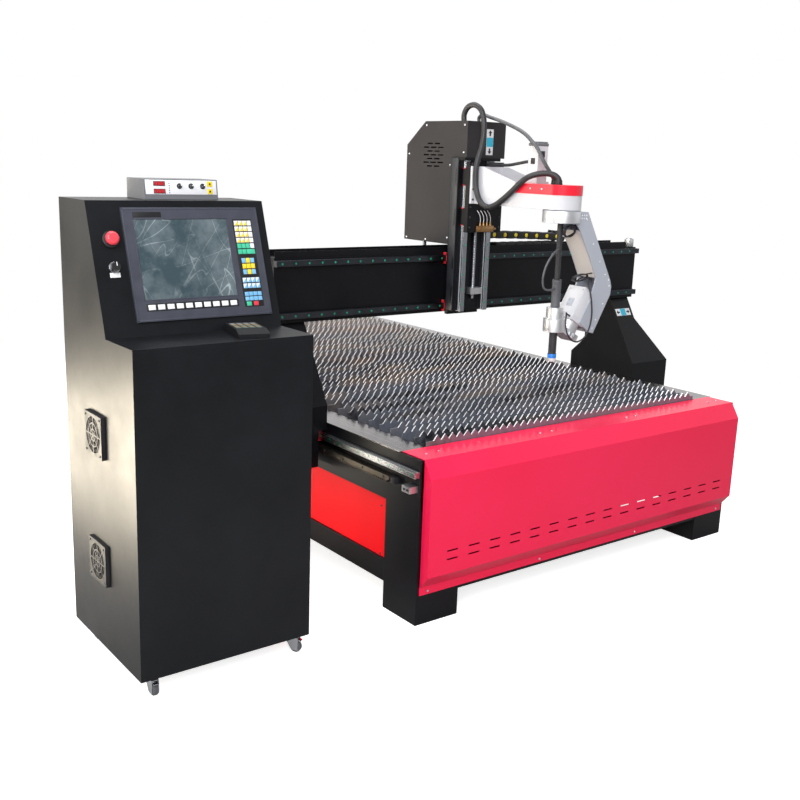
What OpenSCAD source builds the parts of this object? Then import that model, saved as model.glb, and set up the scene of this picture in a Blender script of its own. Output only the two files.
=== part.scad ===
// Plasma cutting table with a moving gantry, a bevel cutting head and a wheeled operator console.
// Drawn from the front left foot of the table: X runs to the right, Y to the rear, Z up.

/* [Table] */
// Width over the outer faces of the legs
table_w = 1725; // [1500:5:2100]
// Length over the outer faces of the legs
table_l = 3240; // [2600:10:4000]
// Height of the bright strips above the floor
table_h = 600; // [560:5:760]
// Side of a square leg
leg_w = 190; // [130:5:200]
// Width of a side beam and of the strip on it
side_beam_w = 112; // [100:1:130]
// Height of a side beam
side_beam_h = 187; // [180:1:220]
// Wall of the leg and beam tubes
tube_t = 6; // [4:1:8]
// Thickness of the strips and pressed panels
sheet_t = 3; // [2:0.5:4]
// Depth of the flange at the front and rear of the bed
flange_d = 120; // [105:5:150]
// Bulge of the front and rear panels
panel_bulge_d = 40; // [20:1:60]

/* [Bed] */
// Spacing of the slats
slat_pitch = 69.5; // [60:0.5:120]
// Thickness of a slat
slat_t = 5; // [3:1:8]
// Height of a slat over its tips
slat_h = 120; // [110:5:140]
// Spacing of the teeth along a slat
tooth_pitch = 35; // [30:1:60]
// Depth of a tooth
tooth_depth = 20; // [15:1:40]
// Rise of the tips above the strips
tip_h = 35; // [30:1:45]

/* [Guides] */
// Width of a guide rail
rail_w = 23; // [20:1:28]
// Height of a guide rail
rail_h = 22; // [18:1:24]
// Height of a bearing block's face above the rail's seat
block_h = 40; // [36:1:46]
// Gear module of the racks and pinions
gear_module = 4; // [3:0.5:4]
// Teeth of a pinion
pinion_teeth = 18; // [18:1:20]
// Radius of the drive shafts
shaft_r = 8; // [6:0.5:9]

/* [Gantry] */
// Rest place of the front of the feet along the table
gantry_y = 571; // [540:1:900]
// Length of a foot along the table
foot_l = 397; // [360:1:460]
// Reach of a foot out from the side of the table
foot_reach = 256; // [240:1:300]
// Rise of the beam's underside above the strips
foot_top_h = 360; // [340:5:420]
// Depth of the beam
beam_d = 156; // [150:1:180]
// Height of the beam
beam_h = 242; // [230:1:280]
// Overhang of the beam past the side of the table
beam_over_l = 138; // [120:1:160]

/* [Carriage] */
// Rest place of the torch across the table
carriage_x = 730; // [700:1:900]
// Width of the vertical axis base
zbase_w = 188; // [184:1:220]
// Height of the vertical axis base
zbase_h = 614; // [600:1:700]
// Width of the carriage cover
cover_w = 202; // [196:1:230]
// Height of the carriage cover
cover_h = 487; // [470:1:520]
// Length of the drag chain's upper run
chain_run_l = 514; // [400:1:560]

/* [Bevel head] */
// Reach of the head's axis out from the slide plate
head_reach_l = 423; // [400:1:480]
// Radius of the head's round end and of the turning disc
head_r = 70; // [64:1:76]
// Reach of the arm's elbow out from the head's axis
arm_reach = 252; // [240:1:280]
// Height of the arm
arm_drop = 460; // [450:1:480]
// Width of the arm over its side plates
arm_w = 95; // [90:1:110]
// Lean of the tilt axis from the vertical
tilt_lean = 30; // [28:1:32]
// Radius of the torch barrel
torch_r = 15; // [12:0.5:17]

/* [Console] */
// Width of the console cabinet
console_w = 575; // [550:5:700]
// Depth of the console cabinet
console_d = 529; // [500:1:600]
// Height of the console cabinet
console_h = 1368; // [1300:1:1500]
// Depth of the shelf in front of the sloping face
shelf_d = 190; // [180:1:240]
// Height of the shelf above the cabinet's underside
shelf_h = 986; // [900:1:1000]
// Depth from the front at which the slope meets the top
slope_top_d = 318; // [300:1:340]
// Sheet thickness of the cabinet
cabinet_t = 2; // [1.5:0.5:3]
// Height of the casters
caster_h = 61; // [58:1:66]
// Clear way between console and table
console_gap = 405; // [380:5:900]
// Setback of the console from the front of the legs
console_y = 43; // [0:1:400]

/* [Hidden] */
$fn = 64;
// overrun of cuts, running clearance of shafts, and the gap between pieces that pass each other
over = 1;
run_gap = 0.05;
pass_gap = 0.3;

// table frame
strip_z = table_h - sheet_t;
beam_low_z = strip_z - side_beam_h;
foot_plate_t = 10;
cross_y = 10;
cross_d = 90;
cross_drop = 10;
stringer_z = 96;
stringer_h = 84;
stringer_t = 60;
stringer_inset = 6;
side_panel_inset = 14;
// front and rear panel
panel_side_gap = 12;
panel_low_z = 110;
panel_lip_h = 29;
panel_low_bevel = 48;
panel_top_bevel = 62;
slot_l = 50;
slot_h = 6;
slot_pitch = 99;
slot_z = 237;
slot_row_pitch = 31;
slots_in_row = 16;
// slats and slag tray
bed_x0 = side_beam_w;
bed_x1 = table_w - side_beam_w;
slat_gap = 8;
slat_end_gap = 5;
// how far along a tooth each slat in turn starts
slat_start_shares = [0.9, 0.7, 0.2, 0.95, 0.4, 0.6, 0.1, 0.3, 0.8];
notch_gap = 0.6;
notch_depth = 20;
tray_t = 6;
tray_floor_t = 3;
tip_z = table_h + tip_h;
slat_z = tip_z - slat_h;
tray_drop = 85;
tray_z = slat_z - tray_drop;
slat_count = floor((table_l - 2 * flange_d - 2 * slat_end_gap) / slat_pitch) + 1;
slat_y0 = (table_l - (slat_count - 1) * slat_pitch) / 2;
tray_y0 = cross_y + cross_d;
tray_rib_shares = [1 / 3, 2 / 3];
// rails on the table
rail_end_gap = 4;
rail_drop = 53;
rack_drop = 91;
rack_h = 25;
rack_face = 25;
rack_end_gap = 144;
stop_y = 12;
stop_l = 44;
stop_h = 23;
stop_drop = 94;
stop_t = 36;
rail_z = table_h - rail_drop;
rack_top_z = table_h - rack_drop;
// outline of a guide rail as shares of its width and height
rail_shares = [[-0.5, 0], [0.5, 0], [0.5, 0.4], [0.37, 0.52], [0.37, 0.6], [0.5, 0.74], [0.5, 0.95], [0.44, 1],
    [-0.44, 1], [-0.5, 0.95], [-0.5, 0.74], [-0.37, 0.6], [-0.37, 0.52], [-0.5, 0.4]];
block_w = 48;
block_l = 84;
block_foot_gap = 5.5;
block_rail_gap = 0.5;
// gears
pressure_angle = 20;
dedendum_share = 1.25;
backlash_gap = 0.4;
gear_pitch = PI * gear_module;
pinion_r = gear_module * pinion_teeth / 2;
pinion_w = 24;
flank_steps = 4;
// gantry feet
foot_gap = 3;
foot_wall = 8;
foot_step_drop = 28;
foot_low_drop = 167;
foot_knee_h = 66;
foot_shoulder_h = 262;
foot_reach_l = 125;
foot_top_y0 = 171;
beam_nose_l = 12;
foot_top_y1 = 315;
foot_back_knee_h = 140;
foot_block_inset = 75;
foot_low_z = table_h - foot_low_drop;
foot_step_z = table_h - foot_step_drop;
beam_z = table_h + foot_top_h;
beam_y = gantry_y + foot_top_y0 - beam_nose_l;
beam_back_y = beam_y + beam_d;
beam_top_z = beam_z + beam_h;
beam_x0 = -beam_over_l;
beam_x1 = table_w + beam_over_l;
beam_wall = 8;
beam_cap_t = 6;
pinion_y = gantry_y + foot_l / 2;
y_pinion_z = rack_top_z - rack_h + gear_module - pinion_r;
motor_w = 60;
motor_l = 130;
motor_shaft_l = 12;
// rails, rack and chain tray on the beam
x_rail_over_l = 7;
x_rail_low_h = 28;
x_rail_high_h = 225;
x_rack_drop = 52;
tray_w = 100;
tray_wall = 2;
tray_h = 26;
chain_tray_inset = 5;
chain_tray_end = 60;
chain_w = 60;
chain_h = 34;
chain_gap = 8;
chain_lower_run_l = 380;
// carriage
plate_t = 18;
carriage_w = 164;
carriage_low_h = 2;
x_block_l = 64;
x_block_gap = 11;
bridge_t = 12;
bridge_clear = 16;
bridge_back_gap = 6;
carriage_y = beam_y - block_h - plate_t;
bridge_z = beam_top_z + tray_h + bridge_clear;
x_rack_z = beam_top_z - x_rack_drop;
x_pinion_y = beam_back_y + rack_h - gear_module + pinion_r;
cover_t = 2;
cover_shift_l = 15;
cover_front_d = 119;
cover_nose_h = 140;
cover_bevel_d = 119;
cover_bevel_h = 94;
cover_back_gap = 34;
cover_x0 = carriage_x + cover_shift_l - cover_w / 2;
cover_x1 = cover_x0 + cover_w;
cover_y0 = carriage_y + pass_gap;
cover_y1 = x_pinion_y + cover_back_gap;
cover_z0 = bridge_z;
cover_z1 = cover_z0 + cover_h;
vent_l = 34;
vent_h = 5;
vent_pitch = 46;
vent_row_pitch = 15;
vent_rows = 7;
vent_low_h = 306;
vent_y = 128;
// vertical axis
zbase_back_t = 46;
zbase_lip = 36;
zbase_low_h = 17;
screw_out_l = 10;
zbase_cap_t = 12;
zbase_y1 = carriage_y;
zbase_seat_y = zbase_y1 - zbase_back_t;
zbase_y0 = zbase_seat_y - zbase_lip;
zbase_z0 = beam_z + zbase_low_h;
zbase_z1 = zbase_z0 + zbase_h;
z_rail_x = 62;
screw_y = zbase_seat_y - screw_out_l;
screw_bearing_z = 70;
screw_bearing_w = 64;
screw_bearing_h = 26;
screw_tail_l = 20;
cover_nose_gap = 2;
cover_nose_y = zbase_y0 + cover_nose_gap;
z_motor_w = 40;
z_motor_l = 108;
// slide plate and head
z_plate_t = 22;
z_plate_w = 180;
z_plate_h = 276;
z_plate_top_gap = 15;
z_block_w = 34;
z_block_l = 64;
z_block_inset = 60;
nut_w = 50;
nut_h = 44;
nut_low_h = 90;
nut_gap = 2;
z_plate_y1 = zbase_seat_y - block_h;
z_plate_y0 = z_plate_y1 - z_plate_t;
z_plate_z1 = zbase_z1 - z_plate_top_gap;
z_plate_z0 = z_plate_z1 - z_plate_h;
bracket_flange_t = 12;
bracket_flange_w = 172;
bracket_top_drop = 18;
bracket_h = 144;
bracket_t = 6;
bracket_flat_l = 40;
bracket_slope_d = 187;
bracket_slope_h = 52;
housing_h = 53;
housing_floor_t = 8;
housing_back_l = 199;
head_y = z_plate_y0 - head_reach_l;
head_z0 = z_plate_z1 - bracket_top_drop - bracket_h;
head_cover_h = 36;
head_cover_t = 2;
head_cover_l = 177;
head_cover_z1 = head_z0 + housing_h + head_cover_h;
hollow_r = 48;
hollow_bore_r = 34;
hollow_h = 48;
a_motor_y = 141;
a_motor_w = 50;
a_motor_h = 147;
a_motor_flange_w = 64;
a_motor_flange_t = 8;
a_motor_cap_h = 34;
a_motor_cap_d = 22;
// bevel arm, tilt axis and torch
disc_gap = 2;
disc_h = 45;
disc_z1 = head_z0 - disc_gap;
arm_top_gap = 4;
arm_z1 = disc_z1 - arm_top_gap;
arm_t = 5;
panel_t = 4;
arm_shares = [[0.04, 0], [0.365, 0], [0.965, 0.565], [0.997, 0.62], [0.985, 0.685], [0.66, 1], [0.55, 0.98],
    [0.35, 0.9], [0.55, 0.72], [0.64, 0.535], [0.475, 0.37], [0.22, 0.15], [0.1, 0.07]];
arm_back_shares = [[0.365, 0], [0.965, 0.565], [0.997, 0.62], [0.985, 0.685], [0.66, 1]];
arm_inner_shares = [[0.22, 0.15], [0.475, 0.37], [0.64, 0.535]];
tip_drop = 560;
torch_tip_z = arm_z1 - tip_drop;
tilt_box_t0 = 166;
tilt_box_t1 = 300;
tilt_box_in_l = 40;
tilt_box_out_l = 34;
tilt_shaft_r = 12;
tilt_shaft_l = 40;
output_r = 38;
output_t0 = 128;
holder_t0 = 104;
holder_in_l = 70;
holder_ring_r = 41;
holder_ring_low_h = 114;
holder_ring_h = 50;
holder_neck_r = 32;
holder_neck_h = 41;
torch_gap = 0.2;
torch_sleeve_r = 17;
torch_sleeve_h = 104;
torch_cup_h = 12;
torch_band_h = 16;
torch_band_r = 16.5;
torch_cup_r = 13;
torch_tip_r = 8;
// console
console_x0 = -console_gap - console_w;
console_x1 = -console_gap;
console_y1 = console_y + console_d;
console_z1 = caster_h + console_h;
shelf_z = caster_h + shelf_h;
slope_y0 = console_y + shelf_d;
slope_y1 = console_y + slope_top_d;
slope_angle = atan2(console_z1 - shelf_z, slope_y1 - slope_y0);
panel_x0 = 100;
panel_w = 445;
panel_y0 = 40;
panel_h = 340;
panel_face_t = 8;
unit_inset = 16;
unit_depth = 55;
unit_gap = 1;
screen_x0 = 133;
screen_y0 = 105;
screen_w = 302;
screen_h = 239;
screen_depth = 3;
screen_t = 1.5;
stop_x = 58;
stop_up_l = 287;
stop_collar_r = 24;
stop_collar_h = 6;
stop_stem_r = 11;
stop_stem_l = 12;
stop_head_r = 20;
stop_head_low_h = 15;
stop_head_h = 14;
select_x = 57;
select_up_l = 205;
select_collar_r = 16;
select_collar_h = 5;
select_stem_r = 6;
select_knob_r = 13;
select_knob_h = 14;
select_grip_t = 7;
select_grip_h = 7;
thc_x0 = 212;
thc_w = 245;
thc_back_gap = 7;
thc_d = 137;
thc_h = 61;
thc_lean_d = 10;
toggle_shares = [0.47, 0.63, 0.79];
toggle_rise_share = 0.66;
toggle_nut_r = 5.5;
toggle_nut_h = 5;
toggle_bore_r = 4.2;
toggle_pin_r = 2.5;
toggle_pin_l = 6;
toggle_pivot_h = 1;
toggle_r = 2;
toggle_l = 15;
toggle_end_r = 2.6;
remote_at = [402, 98];
remote_size = [95, 150, 24];
remote_turn = -12;
remote_nose_l = 30;
fan_y = 284;
fan_z = [285, 685];
fan_w = 130;
fan_r = 55;
guard_t = 12;
guard_bar_w = 5;
guard_rings = [20, 38];
fan_depth = 25;
fan_body_w = 120;
fan_hub_r = 18;
fan_pin_r = 3;
fan_strut_t = 4;
fan_blades = 7;
fan_blade_t = 2;
fan_blade_w = 20;
fan_blade_pitch = 35;
fan_tip_gap = 3;
rear_t = 2;
mount_plate_t = 3;
mount_plate_gap = 50;
mount_plate_z = 150;
mount_plate_h = 780;
drive_size = [90, 110, 170];
drive_count = 4;
drive_pitch = 125;
drive_z = 420;
supply_size = [220, 90, 130];
supply_z = 120;
caster_inset = 48;
caster_trail_l = 26;
caster_wheel_r = 19;
caster_wheel_w = 18;
caster_pin_r = 3;
caster_stem_r = 5;
caster_stem_h = 16;
caster_top_r = 18;
caster_top_h = 9;
caster_cheek_t = 2;
caster_cheek_gap = 1;
caster_cheek_w = 22;
caster_turn = 35;
tread_bevel = 3;
// place of the part's own origin under the middle of its box
frame_x = (console_x0 - guard_t + table_w + foot_reach) / 2;
frame_y = table_l / 2;

// routes of the hoses and cables, as points along them
lead_d = 22;
lead_sides = 12;
torch_lead_route = [[672, 650, 1731], [672, 650, 1758], [674, 632, 1784], [678, 597, 1792], [683, 563, 1772],
    [684, 545, 1730], [680, 538, 1680], [670, 536, 1630], [656, 535, 1592], [647, 534, 1560], [645, 533, 1520],
    [645, 526, 1470], [645, 500, 1425], [645, 455, 1406], [645, 410, 1417], [645, 365, 1443], [644, 322, 1472],
    [644, 285, 1500], [652, 253, 1524], [672, 228, 1537], [696, 204, 1542], [718, 182, 1537], [729, 169, 1524],
    [730, 168, 1514], [730, 168, 1503]];
gas_d = 14;
gas_sides = 8;
gas_hose_route = [[742, 640, 1731], [742, 640, 1748], [738, 612, 1758], [726, 560, 1748], [715, 504, 1737],
    [706, 440, 1722], [700, 370, 1701], [693, 318, 1681], [690, 277, 1655], [690, 250, 1634], [690, 229, 1608],
    [697, 217, 1584], [714, 209, 1558], [730, 202, 1534], [738, 199, 1515], [738, 199, 1503]];
cable_d = 12;
motor_cable_route = [[730, 318.5, 1583], [730, 345, 1581], [730, 390, 1574], [730, 440, 1567], [730, 500, 1566],
    [730, 545, 1568], [730, 563.5, 1568]];
lower_lead_route = [[724, 137, 1440], [724, 137, 1400], [724, 137, 1350], [725, 138, 1300], [727, 139, 1250],
    [729, 140, 1210], [730, 141, 1180], [730, 141, 1157.5]];
loop_d = 8;
arm_loop_route = [[717, 132, 1270], [700, 124, 1267], [672, 119, 1248], [645, 118, 1212], [632, 118, 1168],
    [640, 119, 1132], [665, 122, 1122], [692, 128, 1122], [713.7, 135, 1124]];
thin_d = 6;
arm_cable_route = [[876, 118, 1150], [862, 104, 1136], [858, 86, 1105], [864, 80, 1060], [868, 80, 1015],
    [858, 80, 970], [835, 80, 938], [800, 80, 925], [765, 80, 935], [738, 79, 965], [730, 82, 1000],
    [742, 92, 1026], [754, 104, 1034], [763, 112, 1031], [774, 112, 1025], [782, 112, 1020]];

// small helpers

module placed() translate([-frame_x, -frame_y, 0]) children();

module box(low, high) translate(low) cube(high - low);

// an outline in X and Z, carried along Y
module along_y(y0, y1) translate([0, y1, 0]) rotate([90, 0, 0]) linear_extrude(y1 - y0) children();

// an outline in Y and Z, carried along X
module along_x(x0, x1) translate([x0, 0, 0]) rotate([90, 0, 90]) linear_extrude(x1 - x0) children();

// a round bar along X
module bar_x(at, r, l) translate(at) rotate([0, 90, 0]) cylinder(r = r, h = l);

// the left side's pieces and their mirror image on the right
module both_sides() {
    children();
    translate([table_w, 0, 0]) mirror([1, 0, 0]) children();
}

// the front's pieces and their mirror image at the rear
module both_ends() {
    children();
    translate([0, table_l, 0]) mirror([0, 1, 0]) children();
}

function unit(v) = v / norm(v);

function left_of(v) = [-v[1], v[0]];

function mitre(a, b, c, t) =
    let (n = left_of(unit(b - a)), m = left_of(unit(c - b)))
    b + (n + m) * t / (1 + n * m);

// closed outline moved inwards by t, for an outline drawn anticlockwise
function inset(p, t) =
    let (n = len(p))
    [for (i = [0 : n - 1]) mitre(p[(i + n - 1) % n], p[i], p[(i + 1) % n], t)];

// a bent sheet of thickness t on the left of an open line
function bent_sheet(p, t) =
    let (n = len(p) - 1)
    concat(p, [for (i = [n : -1 : 0])
        i == 0 ? p[0] + left_of(unit(p[1] - p[0])) * t
        : i == n ? p[n] + left_of(unit(p[n] - p[n - 1])) * t
        : mitre(p[i - 1], p[i], p[i + 1], t)]);

// rail outline: across is the first axis, out the second
function rail_outline(grow) =
    [for (s = rail_shares) [s[0] * (rail_w + 2 * grow), s[1] * (rail_h + grow)]];

// gear outlines
function roll(r) = let (b = acos(pinion_r * cos(pressure_angle) / r)) tan(b) * 180 / PI - b;

function tooth_half(r) =
    90 / pinion_teeth - backlash_gap / 4 / pinion_r * 180 / PI + roll(pinion_r) - roll(r);

function polar(r, a) = [r * cos(a), r * sin(a)];

function pinion_outline() =
    let (base = pinion_r * cos(pressure_angle), tip = pinion_r + gear_module,
         root = pinion_r - dedendum_share * gear_module,
         radii = [for (i = [0 : flank_steps]) base + (tip - base) * i / flank_steps])
    [for (k = [0 : pinion_teeth - 1]) let (a = k * 360 / pinion_teeth) each concat(
        [polar(root, a - tooth_half(base))],
        [for (r = radii) polar(r, a - tooth_half(r))],
        [for (i = [flank_steps : -1 : 0]) polar(radii[i], a + tooth_half(radii[i]))],
        [polar(root, a + tooth_half(base))])];

// toothed bar from one place to another, with a gap between teeth at the meshing place and its teeth at out = 0
function rack_outline(from, to, mesh) =
    let (half = gear_pitch / 4 - backlash_gap / 4,
         slope = tan(pressure_angle),
         tip = half - gear_module * slope,
         root = half + dedendum_share * gear_module * slope,
         depth = (1 + dedendum_share) * gear_module,
         first = ceil((from - mesh) / gear_pitch + 0.5),
         last = floor((to - mesh) / gear_pitch - 1.5))
    concat([[from, rack_h], [from, depth]],
        [for (i = [first : last]) let (c = mesh + (i + 0.5) * gear_pitch)
            each [[c - root, depth], [c - tip, 0], [c + tip, 0], [c + root, depth]]],
        [[to, depth], [to, rack_h]]);

function turned(p) = [for (q = p) [q[0], rack_top_z - rack_h + q[1]]];

function tangents(p) =
    let (n = len(p) - 1)
    [for (i = [0 : n]) unit(p[min(i + 1, n)] - p[max(i - 1, 0)])];

function carried(t, i, n) =
    i == len(t) ? []
    : let (m = unit(n - (n * t[i]) * t[i])) concat([m], carried(t, i + 1, m));

// a round hose swept along a route
module hose(route, d, sides) {
    t = tangents(route);
    n = carried(t, 0, [1, 1, 0]);
    last = len(route) - 1;
    points = [for (i = [0 : last]) for (k = [0 : sides - 1]) let (a = k * 360 / sides)
        route[i] + (n[i] * cos(a) + cross(t[i], n[i]) * sin(a)) * d / 2];
    walls = [for (i = [0 : last - 1]) for (k = [0 : sides - 1])
        let (a = i * sides + k, b = i * sides + (k + 1) % sides)
        each [[a, a + sides, b], [b, a + sides, b + sides]]];
    caps = [for (k = [1 : sides - 2]) each [[0, k, k + 1],
        [last * sides, last * sides + k + 1, last * sides + k]]];
    polyhedron(points, concat(walls, caps));
}

// table

module table_frame() placed() color("#17181a") {
    both_sides() both_ends() difference() {
        box([0, 0, 0], [leg_w, leg_w, beam_low_z]);
        box([tube_t, tube_t, foot_plate_t], [leg_w - tube_t, leg_w - tube_t, beam_low_z + over]);
    }
    both_sides() difference() {
        box([0, 0, beam_low_z], [side_beam_w, table_l, strip_z]);
        box([tube_t, -over, beam_low_z + tube_t], [side_beam_w - tube_t, table_l + over, strip_z - tube_t]);
    }
    both_ends() difference() {
        box([bed_x0, cross_y, beam_low_z], [bed_x1, cross_y + cross_d, strip_z - cross_drop]);
        box([bed_x0 - over, cross_y + tube_t, beam_low_z + tube_t],
            [bed_x1 + over, cross_y + cross_d - tube_t, strip_z - cross_drop - tube_t]);
    }
    both_sides() box([stringer_inset, leg_w, stringer_z],
        [stringer_inset + stringer_t, table_l - leg_w, stringer_z + stringer_h]);
    both_ends() box([leg_w, stringer_t, stringer_z],
        [table_w - leg_w, 2 * stringer_t, stringer_z + stringer_h]);
}

module side_panels() placed() color("#e5202c") both_sides()
    box([side_panel_inset, leg_w, stringer_z + stringer_h],
        [side_panel_inset + sheet_t, table_l - leg_w, beam_low_z]);

panel_front_y = -sheet_t - panel_bulge_d;
panel_lip_z = panel_low_z + panel_lip_h;
panel_face_z0 = panel_lip_z + panel_low_bevel;
panel_face_z1 = table_h - panel_top_bevel;
panel_line = [[-sheet_t, panel_low_z], [-sheet_t, panel_lip_z], [panel_front_y, panel_face_z0],
    [panel_front_y, panel_face_z1], [-sheet_t, table_h], [flange_d, table_h]];
panel_cheek = [[-sheet_t, panel_lip_z], [-sheet_t, table_h - sheet_t], [panel_front_y, panel_face_z1],
    [panel_front_y, panel_face_z0]];

module end_panel() {
    x0 = panel_side_gap;
    x1 = table_w - panel_side_gap;
    difference() {
        along_x(x0, x1) polygon(bent_sheet([for (i = [len(panel_line) - 1 : -1 : 0]) panel_line[i]], sheet_t));
        for (row = [0, 1]) for (i = [0 : slots_in_row - 1]) {
            x = table_w / 2 + (i - (slots_in_row - 1) / 2) * slot_pitch - slot_l / 2;
            z = slot_z + row * slot_row_pitch;
            box([x, panel_front_y - over, z], [x + slot_l, panel_front_y + sheet_t + over, z + slot_h]);
        }
    }
    for (x = [x0, x1 - sheet_t]) along_x(x, x + sheet_t) polygon(panel_cheek);
}

module front_panel() placed() color("#e8385a") end_panel();

module rear_panel() placed() color("#e8385a") translate([0, table_l, 0]) mirror([0, 1, 0]) end_panel();

module top_strips() placed() color("#c9ccd0") both_sides()
    box([0, flange_d, strip_z], [side_beam_w, table_l - flange_d, table_h]);

module slats() placed() color("#5b6470") {
    x0 = bed_x0 + slat_gap;
    x1 = bed_x1 - slat_gap;
    root_z = tip_z - tooth_depth;
    for (i = [0 : slat_count - 1]) {
        y = slat_y0 + i * slat_pitch;
        start = x0 + slat_start_shares[i % len(slat_start_shares)] * tooth_pitch;
        teeth = floor((x1 - start) / tooth_pitch);
        zigzag = [for (tooth = [0 : teeth - 1]) let (x = start + tooth * tooth_pitch)
            each [[x, root_z], [x + tooth_pitch / 2, tip_z]]];
        outline = concat([[x1, slat_z], [x0, slat_z], [x0, root_z]], zigzag,
            [[start + teeth * tooth_pitch, root_z], [x1, root_z]]);
        along_y(y - slat_t / 2, y + slat_t / 2) polygon(outline);
    }
}

module slag_tray() placed() color("#3d4043") {
    y1 = table_l - tray_y0;
    half = slat_t / 2 + notch_gap / 2;
    top = slat_z + notch_depth;
    notched = concat([[tray_y0, tray_z], [tray_y0, top]],
        [for (i = [0 : slat_count - 1]) let (y = slat_y0 + i * slat_pitch)
            each [[y - half, top], [y - half, slat_z], [y + half, slat_z], [y + half, top]]],
        [[y1, top], [y1, tray_z]]);
    inside = bed_x1 - bed_x0 - tray_t;
    box([bed_x0, tray_y0, tray_z], [bed_x1, y1, tray_z + tray_floor_t]);
    for (share = concat([0], tray_rib_shares, [1]))
        along_x(bed_x0 + share * inside, bed_x0 + share * inside + tray_t) polygon(notched);
    for (y = [tray_y0, y1 - tray_t]) box([bed_x0, y, tray_z], [bed_x1, y + tray_t, top]);
}

module y_rails() placed() color("#8d9399") both_sides() along_y(rail_end_gap, table_l - rail_end_gap)
    polygon([for (p = rail_outline(0)) [-p[1], rail_z + p[0]]]);

module y_racks() placed() color("#6b7076") both_sides() along_x(-rack_face, 0)
    polygon(turned(rack_outline(rack_end_gap, table_l - rack_end_gap, pinion_y)));

module end_stops() placed() color("#9aa0a6") both_sides() both_ends()
    box([-stop_t, stop_y, table_h - stop_drop - stop_h], [0, stop_y + stop_l, table_h - stop_drop]);

// gantry

// a bearing block on a rail that lies along the first axis, with its face turned away from the rail
module bearing_block(l, w) difference() {
    translate([-l / 2, -w / 2, block_foot_gap]) cube([l, w, block_h - block_foot_gap]);
    translate([-l / 2 - over, 0, 0]) rotate([90, 0, 90]) linear_extrude(l + 2 * over)
        polygon(rail_outline(block_rail_gap));
}

foot_front = [[-foot_gap, beam_z], [-foot_gap, foot_step_z], [-block_h, foot_step_z], [-block_h, foot_low_z],
    [-foot_reach, foot_low_z], [-foot_reach, table_h + foot_knee_h],
    [-foot_reach_l, table_h + foot_shoulder_h], [-foot_reach_l, beam_z]];
foot_side = [[gantry_y, foot_low_z], [gantry_y + foot_l, foot_low_z],
    [gantry_y + foot_l, table_h + foot_knee_h], [gantry_y + foot_top_y1, table_h + foot_back_knee_h],
    [gantry_y + foot_top_y1, beam_z], [gantry_y + foot_top_y0, beam_z], [gantry_y, table_h + foot_knee_h]];

module gantry_feet() placed() color("#1b1c1f") both_sides() difference() {
    intersection() {
        along_y(gantry_y, gantry_y + foot_l) polygon(foot_front);
        along_x(-foot_reach, -foot_gap) polygon(foot_side);
    }
    box([foot_wall - foot_reach, gantry_y + foot_wall, foot_low_z - over],
        [-block_h - foot_wall, gantry_y + foot_l - foot_wall, table_h + foot_knee_h - foot_wall]);
    box([foot_wall - foot_reach_l, gantry_y + foot_top_y0 + foot_wall,
            table_h + foot_knee_h - foot_wall - over],
        [-foot_gap - foot_wall, gantry_y + foot_top_y1 - foot_wall, beam_z - foot_wall]);
    bar_x([-block_h - foot_wall - over, pinion_y, y_pinion_z], shaft_r + run_gap, foot_wall + 2 * over);
}

module y_bearings() placed() color("#a8adb3") both_sides()
    for (y = [foot_block_inset, foot_l - foot_block_inset]) translate([0, gantry_y + y, rail_z])
        rotate([0, -90, 0]) rotate([0, 0, 90]) bearing_block(block_l, block_w);

module y_motors() placed() color("#2b2d31") both_sides() {
    x1 = -block_h - foot_wall - motor_shaft_l;
    z0 = max(y_pinion_z - motor_w / 2, foot_low_z);
    box([x1 - motor_l, pinion_y - motor_w / 2, z0], [x1, pinion_y + motor_w / 2, z0 + motor_w]);
    for (y = [pinion_y - motor_w / 2, pinion_y + motor_w / 2 - motor_shaft_l])
        box([x1, y, z0], [-block_h - foot_wall, y + motor_shaft_l, z0 + motor_w]);
}

module y_pinions() placed() color("#b9bdc2") both_sides() {
    shaft = block_h + foot_wall + motor_shaft_l - pass_gap;
    translate([-pinion_w - pass_gap, pinion_y, y_pinion_z]) rotate([90, 0, 90]) rotate([0, 0, 90])
        linear_extrude(pinion_w) polygon(pinion_outline());
    bar_x([-shaft, pinion_y, y_pinion_z], shaft_r, shaft - pinion_w);
}

module gantry_beam() placed() color("#141518") {
    difference() {
        box([beam_x0, beam_y, beam_z], [beam_x1, beam_back_y, beam_top_z]);
        box([beam_x0 - over, beam_y + beam_wall, beam_z + beam_wall],
            [beam_x1 + over, beam_back_y - beam_wall, beam_top_z - beam_wall]);
    }
    for (x = [beam_x0 - beam_cap_t, beam_x1])
        box([x, beam_y, beam_z], [x + beam_cap_t, beam_back_y, beam_top_z]);
    difference() {
        y0 = beam_y + chain_tray_inset;
        box([beam_x0, y0, beam_top_z], [beam_x1 - chain_tray_end, y0 + tray_w, beam_top_z + tray_h]);
        box([beam_x0 - over, y0 + tray_wall, beam_top_z + tray_wall],
            [beam_x1 + over, y0 + tray_w - tray_wall, beam_top_z + tray_h + over]);
    }
}

module x_rails() placed() color("#8d9399") for (rise = [x_rail_low_h, x_rail_high_h])
    along_x(beam_x0 - x_rail_over_l, beam_x1 + x_rail_over_l)
        polygon([for (p = rail_outline(0)) [beam_y - p[1], beam_z + rise + p[0]]]);

module x_rack() placed() color("#6b7076") translate([0, 0, x_rack_z]) linear_extrude(rack_face)
    polygon([for (p = rack_outline(beam_x0, beam_x1, carriage_x)) [p[0], beam_back_y + rack_h - p[1]]]);

chain_z0 = beam_top_z + tray_wall;
chain_bend_x = cover_x1 + chain_run_l;
chain_outer_r = chain_h + chain_gap / 2;
chain_mid_z = chain_z0 + chain_outer_r;

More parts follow.
